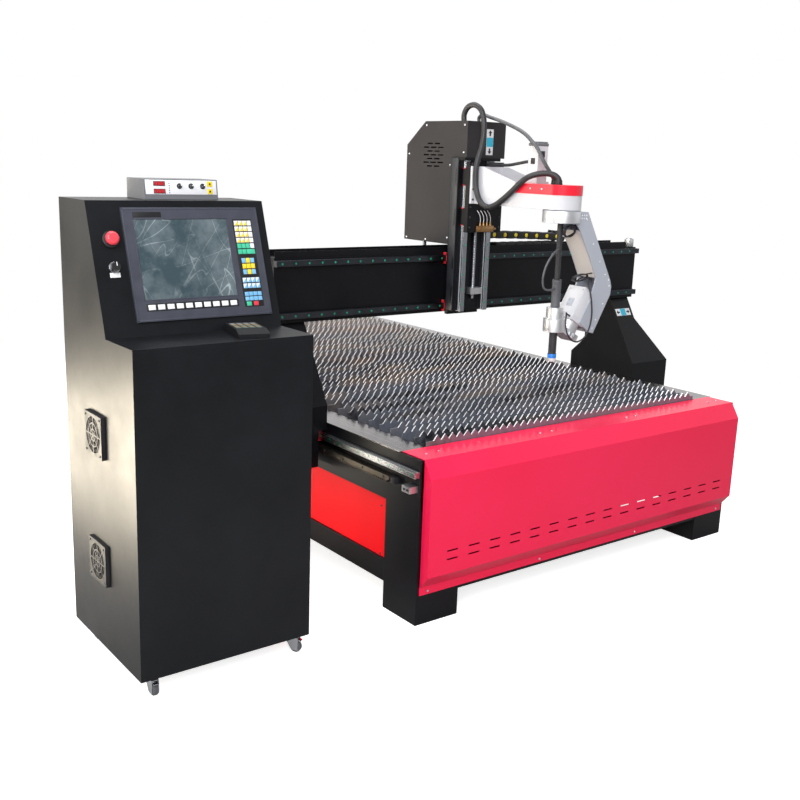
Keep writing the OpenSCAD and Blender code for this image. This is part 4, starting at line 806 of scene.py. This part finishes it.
lower_run = row(chain_link(984, 1204), 7, (54, 0, 0))
chain_run(lower_run, "chain_lower_run", nylon)
upper_links, pins = [], []
for step in range(8):
    shift = UPPER_STEP * step
    droop = 10 - 16 * (step / 7.5) ** 1.5
    link = chain_link(0, 1246 + droop)
    stretch = Matrix.Scale(UPPER_STEP / LINK_L, 4, RIGHT)
    link.data.transform(Matrix.Translation(((848 + shift) * MM, 0, 0)) @ stretch)
    upper_links.append(link)
    pins.append(lathe([(9, 0), (9, 1), (7, 1.8)], (900 + shift, 756, 1263 + droop), FRONT, 20))
for name, material, parts in (("chain_upper_run", nylon, upper_links), ("chain_pins", cap_yellow, pins)):
    chain_run(joined(*parts), name, material)
bend_links = []
for step in range(4):
    link = chain_link(0, -17)
    link.data.transform(Matrix.Translation((-LINK_L / 2 * MM, 0, 0)) @ Matrix.Scale(0.36, 4, RIGHT))
    angle = math.radians(-67.5 + 45 * step)
    place = Matrix.Translation((BEND_X + BEND_R * math.cos(angle), 0, BEND_Z + BEND_R * math.sin(angle)))
    link.data.transform(place @ Matrix.Rotation(math.pi / 2 - angle, 4, "Y"))
    bend_links.append(link)
chain_run(joined(*bend_links), "chain_bend", nylon)


# the axis plates: a blue middle and two pale ends with plain arrows

def axis_plate(name, place, along, out, body):
    """A small label plate set on a face: along and out are unit vectors."""
    along, out = Vector(along), Vector(out)
    turn = Matrix((along, out.cross(along), out)).transposed().to_4x4()
    where = TABLE @ Matrix.Translation(Vector(place) * MM) @ turn
    dress(block((-50, -18, 0), (50, 18, 0.8), 0.3), name + "_plate", label_white, body, where)
    dress(block((-18, -17, 0.8), (18, 17, 1.1), 0.1), name + "_middle", label_blue, body, where)
    heads = [plate([(46 * s, 0, 0.8), (35 * s, -10, 0.8), (35 * s, 10, 0.8)], (0, 0, 0.3), 0)
             for s in (-1, 1)]
    stems = [block((x, -4, 0.8), (x + 11, 4, 1.1), 0) for x in (-35, 24)]
    dress(joined(*heads, *stems), name + "_arrows", label_black, body, where)


axis_plate("upright_axis", (762, 592, 1653), UP, FRONT, "carriage")
axis_plate("cross_axis", (1785, 703.0, 893.2), RIGHT, (0, -0.864, 0.503), "gantry")

# carriage: cover screws, side covers of the upright with their slots, slide seals and rail caps
upper_holes = [(960, 1600), (690, 1560), (610, 1610), (610, 1715), (850, 1715)]
for side, x, axis, lower_holes in (("left", 644, LEFT, [(690, 1270), (830, 1254), (960, 1254)]),
                                   ("right", 846, RIGHT, [(690, 1310), (830, 1300), (960, 1300)])):
    cover_screws = screws([(x, y, z) for y, z in lower_holes + upper_holes], axis, 3.6)
    dress(cover_screws, "cover_screws_" + side, label_white, "carriage")
side_covers = [block((x, 628, 980), (x + 3, 668, 1588), 1.2) for x in (633, 824)]
dress(side_covers, "upright_side_covers", motor_paint, "carriage")
slots = [block((x, 630, z), (x + 0.8, 641, z + 68), 0.3)
         for x in (632.4, 826.8) for z in (1323, 1480, 1150, 1010)]
dress(slots, "upright_side_slots", label_black, "carriage")
z_seals = [seal("zxy", (z, z + 3), x, SLIDE_SEAL, (587, 603, 620), 0.6)
           for x in UPRIGHT_RAIL_X for z in (1325, 1392, 1481, 1548)]
dress(z_seals, "slide_block_seals", seal_red, "slide")
upright_caps = [row(rail_cap((x, 604, 1007), FRONT), 10, (0, 0, 60)) for x in UPRIGHT_RAIL_X]
dress(upright_caps, "upright_rail_caps", cap_green, "carriage")


# ball screw, grease block with its tubes, and the bolts of the slide plate

def screw_thread():
    """The ball screw: a bar with a round thread wound along it."""
    core = lathe([(7.0, 0), (7.0, 543), (7.9, 543), (7.9, 563.5)], (0, 0, 0), UP, 24)
    turns, per_turn = 50, 16
    pitch, radius, start = 0.010, 0.0053, 0.006
    line = []
    for i in range(turns * per_turn + 1):
        a = 2 * math.pi * i / per_turn
        line.append((radius * math.cos(a), radius * math.sin(a), start + pitch * i / per_turn))
    whole = joined(core, tube("thread", line, 0.0052, 2, False))
    whole.data.transform(Matrix.Translation((0.730, 0.616, 1.027)))
    return whole


dress(screw_thread(), "ball_screw", rail_steel_z, "screw", stands_for=["z_screw"])
OUTLET_X = (702, 720, 738, 756)
PLATE_EDGE_X = (652, 808)
body_blocks = [block((684, 556, 1302), (776, 564, 1326), 1.5), block((690, 550, 1306), (770, 558, 1322), 2)]
nipples = [lathe([(5, 0), (5, 7), (3.6, 9), (3.6, 15)], (x, 557, 1326), UP, 12) for x in OUTLET_X]
inlet = lathe([(5, 0), (5, 8), (3.4, 10)], (776, 557, 1314), RIGHT, 12)
dress(joined(*body_blocks, *nipples, inlet), "grease_manifold", brass, "slide")
for i, x in enumerate(OUTLET_X):
    route = [(x, 557, 1341), (x, 556.5, 1352), (x - 3, 556, 1364), (x - 8, 557, 1374), (x - 12, 560, 1382),
             (x - 14, 563.5, 1386)]
    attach(hose("grease_tube_%d" % i, route, 3, label_white, []), "slide")
plate_screws = screws([(x, 564, z) for x in PLATE_EDGE_X for z in (1320, 1360, 1400, 1567)], FRONT, 4)
dress(plate_screws, "slide_plate_screws", motor_paint, "slide")
bracket_bolts = screws([(x, 552, z) for x in PLATE_EDGE_X for z in (1430, 1470, 1510, 1545)], FRONT, 4.5)
dress(bracket_bolts, "bracket_bolts", motor_paint, "slide")


# bevel head: screws in the side plates and the cover, motor cap, plugs and glands

def screws_each_side(holes, left, right):
    """Small screws at the same holes in a left and a right face."""
    return joined(screws([(left, y, z) for y, z in holes], LEFT, 3),
                  screws([(right, y, z) for y, z in holes], RIGHT, 3))


bracket_holes = [(488, 1540), (470, 1440), (400, 1470), (352, 1430), (352, 1448), (366, 1430), (366, 1448)]
dress(screws_each_side(bracket_holes, 660, 800), "bracket_screws", aluminium, "slide")
cover_holes = [(y, 1486) for y in (180, 240, 300)]
dress(screws_each_side(cover_holes, 658, 802), "head_cover_screws", label_white, "slide")
cap = [block((703, 255, 1640), (757, 309, 1650.5), 2), block((706, 258, 1650), (754, 306, 1656), 2)]
dress(cap, "head_motor_cap", grey_paint, "slide")
plugs = [block((702.5, 272, 1574), (705.2, 292, 1596), 0.8),
         block((720, 254.4, 1600), (738, 257.2, 1622), 0.8)]
dress(plugs, "head_motor_plugs", nylon, "slide")
for name, x, y, r in (("lead_gland", 730, 168, 15.5), ("hose_gland", 738, 199, 11)):
    gland = lathe([(r, 0), (r, 5), (r - 1, 6), (r - 1, 14), (r - 3.4, 18)], (x, y, 1503), UP, 24)
    dress(gland, name, nylon, "slide")


# bevel arm: rows of screws along the plates, seen as pale dots, the disc's bright band and the inner panel

def turned(profile, height, sides):
    """A turned piece on the upright axis of the disc and the torch."""
    return lathe(profile, (HEAD_X, HEAD_Y, height), UP, sides)


arm_holes = [(x, z) for z in (1396, 1384) for x in (790, 802, 814)]
arm_holes += [(818, 1380), (862, 1290), (905, 1222), (940, 1172), (962, 1150), (968, 1128), (940, 1060),
              (905, 1000), (890, 968), (770, 1400), (762, 1396)]
arm_screws = joined(screws([(x, 93.5, z) for x, z in arm_holes], FRONT, 2.8),
                    screws([(x, 188.5, z) for x, z in arm_holes], REAR, 2.8))
dress(arm_screws, "arm_screws", label_white, "arm")
disc_band = turned([(70.4, 0), (70.4, 41), (69.4, 43)], 1368, 64)
dress(disc_band, "arm_disc_band", turned_aluminium, "arm")
inner = [(785.4, 1339), (849.7, 1237.8), (891.3, 1161.9)]
outline = [(x - 0.3, 99, z - 0.2) for x, z in inner] + [(x - 1.1, 99, z - 0.8) for x, z in reversed(inner)]
dress(plate(outline, (0, 84, 0), 0), "arm_inner_panel", anodised_panel, "arm")

# tilt motor: lids, a socket plate and screws
lids = [block((-36, y, 184), (30, y + 1, 292), 0.4) for y in (-43.4, 42.4)]
dress(lids, "tilt_motor_lids", white_paint, "arm", TILT)
socket = [block((-42, -14, 216), (-40, 14, 248), 0.6), block((-43, -9, 222), (-42, 9, 242), 0.4)]
dress(socket, "tilt_motor_socket", arm_paint, "arm", TILT)
tilt_screws = joined(screws([(-40, y, z) for y in (-34, 34) for z in (178, 288)], LEFT, 2.5),
                     screws([(-40, y, 204) for y in (-20, 20)], LEFT, 2))
dress(tilt_screws, "tilt_motor_screws", aluminium, "arm", TILT)

# torch: bright bands on the holder, grey grip, blue ring, white cup, nozzle and clamp blocks
bands = [turned([(41.3, 0), (41.3, 45), (40.6, 47)], 963.5, 64),
         turned([(32.3, 0), (32.3, 36), (31.6, 38)], 1013.5, 64)]
dress(bands, "holder_bands", turned_aluminium, "torch_end")
grip = turned([(17.2, 0), (17.6, 3), (17.6, 8), (17.2, 9), (17.2, 92), (17.6, 94), (17.6, 100), (16.4, 103.5),
               (14, 104)], 1053.3, 32)
dress(grip, "torch_grip", grey_sleeve, "torch_end")
cup_ring = turned([(16.8, 0), (16.8, 15), (16.2, 16)], 860, 40)
dress(cup_ring, "torch_blue_ring", blue_ring, "torch_end")
cup = turned([(9, 0), (13.5, 2), (15.2, 6), (15.6, 16)], 844, 40)
dress(cup, "torch_cup", ceramic, "torch_end")
nozzle = turned([(4, 0), (6.5, 1), (8.6, 6)], 838.5, 32)
dress(nozzle, "torch_nozzle", copper, "torch_end")
clamps = [block((x, -46, 106), (x + 12, -38, 126), 1.5) for x in (-20, 4)]
dress(clamps, "holder_clamp_blocks", aluminium, "torch_end", TILT)


# console: the operator panel's keys on their backing, rims, and the trim of stop button and selector

FACE = 8.0
KEY_BASE = FACE + 0.5
KEY_W, KEY_H, KEY_RISE = 13.5, 15, 1.2
KEY_STEP, KEY_DOWN = 15, 18
KEYS_X, LAST_X = 459, 504
LOWER_HALF = [(0.5, 0.5), (13, 0.5), (13, 14.5)]
UPPER_HALF = [(0.5, 0.5), (13, 14.5), (0.5, 14.5)]
STOP_AT, SELECTOR_AT = (58, 287), (57, 205)


def on_console(piece, name, material, where=SLOPE):
    """Dresses a piece that stays on the console."""
    dress(piece, name, material, "machine", where)


def key(x, y, w=KEY_W, h=KEY_H, base=KEY_BASE):
    """A raised membrane key."""
    return block((x, y, base), (x + w, y + h, base + KEY_RISE), 0.5)


def half_film(x, y, corners):
    """The coloured half of a key, cut from corner to corner."""
    return plate([(x + dx, y + dy, KEY_BASE + 1.1) for dx, dy in corners], (0, 0, 0.25), 0)


def grid(x, y, columns, rows, down=KEY_DOWN):
    """The places of keys in rows, from the upper left one on."""
    return [(x + KEY_STEP * c, y - down * r) for r in range(rows) for c in range(columns)]


def rim(x0, y0, x1, y1, wide, low, high, ease):
    """Four bars round a field of the operator panel."""
    spans = [((x0, y0), (x1, y0 + wide)), ((x0, y1 - wide), (x1, y1)),
             ((x0, y0), (x0 + wide, y1)), ((x1 - wide, y0), (x1, y1))]
    return [block((*a, FACE + low), (*b, FACE + high), ease) for a, b in spans]


fields = [((454, 66), (521, 342)), ((133, 70), (434, 93)), ((133, 350), (222, 366))]
backing = [block((*low, FACE), (*high, KEY_BASE), 0.3) for low, high in fields]
on_console(backing, "key_backing", label_black)
number_pad, mode_pad = grid(KEYS_X, 322, 4, 4), grid(KEYS_X, 142, 4, 2)
white = [key(x, y) for x, y in number_pad] + [key(LAST_X, 250)]
white += [half_film(x, y, UPPER_HALF) for x, y in mode_pad]
white += [key(139 + 29.6 * i, 74, 22) for i in range(10)]
yellow = [half_film(x, y, LOWER_HALF) for x, y in number_pad if x < LAST_X]
green = [key(x, y) for x, y in grid(KEYS_X, 250, 3, 1) + grid(KEYS_X, 232, 2, 1)]
green += [key(489, 232, 28.5), key(461, 69, 17, 13)]
blue = [key(x, y) for x, y in mode_pad]
blue += [key(x, y, KEY_W, 12.5) for x, y in grid(KEYS_X, 100, 4, 2, 15)]
# the pad of three by three: a yellow cross with blue corners
cross_x, cross_y = 481, 186
for x, y in grid(466, 204, 3, 3):
    in_cross = x == cross_x or y == cross_y
    (yellow if in_cross else blue).append(key(x, y))
for shade, material, keys in (("white", key_white, white), ("yellow", key_yellow, yellow),
                              ("blue", key_blue, blue), ("green", key_green, green)):
    on_console(keys, shade + "_keys", material)
on_console(key(485, 69, 17, 13), "red_key", key_red)
on_console(rim(102, 42, 543, 378, 4, -0.4, 0.8, 0.5), "bezel_rim", bezel_plastic)
on_console(rim(130, 102, 438, 347, 3, -0.2, 0.7, 0.4), "screen_rim", bezel_plastic)
label = block((42, 176, 0), (73, 190, 1.2), 0.4)
on_console(label, "selector_label", label_white)
stop_rim = lathe([(24.5, 5.4), (24.5, 6.6), (22.5, 7.4)], (*STOP_AT, 0), UP, 48)
on_console(stop_rim, "stop_collar_rim", nylon)
selector_rim = lathe([(16.4, 4.2), (16.4, 5.0), (15.4, 5.2)], (*SELECTOR_AT, 0), UP, 40)
on_console(selector_rim, "selector_collar_rim", chrome)
mark = block((-1.2, 0, 0), (1.2, 11, 0.8), 0.3)
knob_top = SLOPE @ Matrix.Translation(Vector((*SELECTOR_AT, 26.3)) * MM)
dress(mark, "selector_mark", label_white, "selector", knob_top)

# height control on the console: a pale face, two number displays, two keys, lamps and the toggles' collars
HEIGHT_W = 245
HEIGHT_TOP = 0.9
HEIGHT_ROWS = (41, 18)
face = block((4, 15.5, 0), (241, 59, HEIGHT_TOP), 0.4)
on_console(face, "height_face", label_white, HEIGHT_FACE)
rims = [block((30, y - 0.5, HEIGHT_TOP), (68, y + 14, 2.2), 0.5) for y in HEIGHT_ROWS]
on_console(rims, "height_display_rims", nylon, HEIGHT_FACE)
displays = [block((32, y + 1, 2.1), (66, y + 12.5, 2.6), 0.3) for y in HEIGHT_ROWS]
on_console(displays, "height_displays", segments, HEIGHT_FACE)
digits = []
for y in HEIGHT_ROWS:
    for x in (34, 45, 56):
        digits += [block((x + 1, y + h, 2.6), (x + 7, y + h + 1, 2.8), 0) for h in (2.5, 6.1, 9.7)]
        digits += [block((x + s, y + 2.5, 2.6), (x + s + 1, y + 10.7, 2.8), 0) for s in (0, 7)]
on_console(digits, "height_digits", seal_red, HEIGHT_FACE)
height_keys = [key(209, y - 1, 18, 16, HEIGHT_TOP) for y in HEIGHT_ROWS]
on_console(height_keys, "height_keys", key_yellow, HEIGHT_FACE)
marks = [block((215, y + 4, 2.1), (221, y + 10, 2.4), 0.1) for y in HEIGHT_ROWS]
on_console(marks, "height_key_marks", label_black, HEIGHT_FACE)
lamps = [block((80, y, HEIGHT_TOP), (83, y + 3, 1.4), 0.2) for y in (19, 26, 33, 40, 47)]
on_console(lamps, "height_lamps", label_black, HEIGHT_FACE)
toggle_y = 0.66 * math.hypot(HEIGHT_RISE, HEIGHT_RUN)
collar = [(8.6, 0), (8.6, 1.4), (7.4, 2.2), (6.4, 2.2), (6.2, 0.6)]
collars = [lathe(collar, (share * HEIGHT_W, toggle_y, HEIGHT_TOP), UP, 28) for share in (0.47, 0.63, 0.79)]
on_console(collars, "toggle_collars", nylon, HEIGHT_FACE)

# remote handset: five rows of four keys
REMOTE = TABLE @ Matrix.Translation((-0.578, 0.141, 1.047)) @ Matrix.Rotation(math.radians(-12), 4, "Z")
pad = []
for y in range(-30, 60, 18):
    pad.append([block((x, y, 24), (x + 16, y + 13, 25), 0.4) for x in (-40, -19, 2, 23)])
on_console(pad[0] + pad[2], "remote_keys_green", remote_green, REMOTE)
on_console(pad[1] + pad[3], "remote_keys_tan", remote_tan, REMOTE)
on_console(pad[4], "remote_keys_grey", remote_grey, REMOTE)


# fan guards: fine rings and slanted struts between the moulded bars, and screws

FAN_X, FAN_Y = -989, 327


def guard_ring(r):
    """One thin ring of a fan guard, widened from a wire, round the origin."""
    clear()
    bpy.ops.mesh.primitive_torus_add(major_radius=r * MM, minor_radius=1.1 * MM, major_segments=48,
                                     minor_segments=6, rotation=(0, math.pi / 2, 0))
    ring = bpy.context.object
    bpy.ops.object.transform_apply(location=True, rotation=True)
    bpy.ops.object.mode_set(mode="EDIT")
    bpy.ops.mesh.select_all(action="SELECT")
    bpy.ops.transform.resize(value=(2.2, 1, 1), center_override=(0, 0, 0))
    bpy.ops.object.mode_set(mode="OBJECT")
    return ring


guard_screws = []
for level, z in (("lower", 346), ("upper", 746)):
    fine = [guard_ring(r) for r in (25, 29, 43, 47, 51)]
    for slant in (45, 135):
        strut = block((-2.6, -54.6, -2.4), (2.6, 54.6, 2.4), 0.8)
        strut.data.transform(Matrix.Rotation(math.radians(slant), 4, "X"))
        fine.append(strut)
    for piece in fine:
        piece.data.transform(Matrix.Translation(Vector((FAN_X, FAN_Y, z)) * MM))
    dress(fine, "guard_mesh_" + level, nylon, "machine")
    corners = [(FAN_X - 3, FAN_Y + dy, z + dz) for dy in (-54, 54) for dz in (-54, 54)]
    guard_screws.append(screws(corners, LEFT, 3.4))
dress(guard_screws, "guard_screws", motor_paint, "machine")

# screws of the console's rear panel, and the brake tabs of the front casters
rear_holes = [(x, 574, z) for x in (-962, -692, -423) for z in (80, 745, 1410)]
dress(screws(rear_holes, REAR, 4), "rear_panel_screws", chrome, "machine")
for side, x, turn in (("left", -932, 0), ("right", -453, 35)):
    tab = plate([(-9, -30, 47), (9, -30, 47), (9, -46, 40), (-9, -46, 40)], (0, 0, 2.2), 0.6)
    where = TABLE @ Matrix.Translation((x * MM, 0.091, 0)) @ Matrix.Rotation(math.radians(turn), 4, "Z")
    dress(tab, "brake_tab_" + side, chrome, "caster_front_" + side, where)
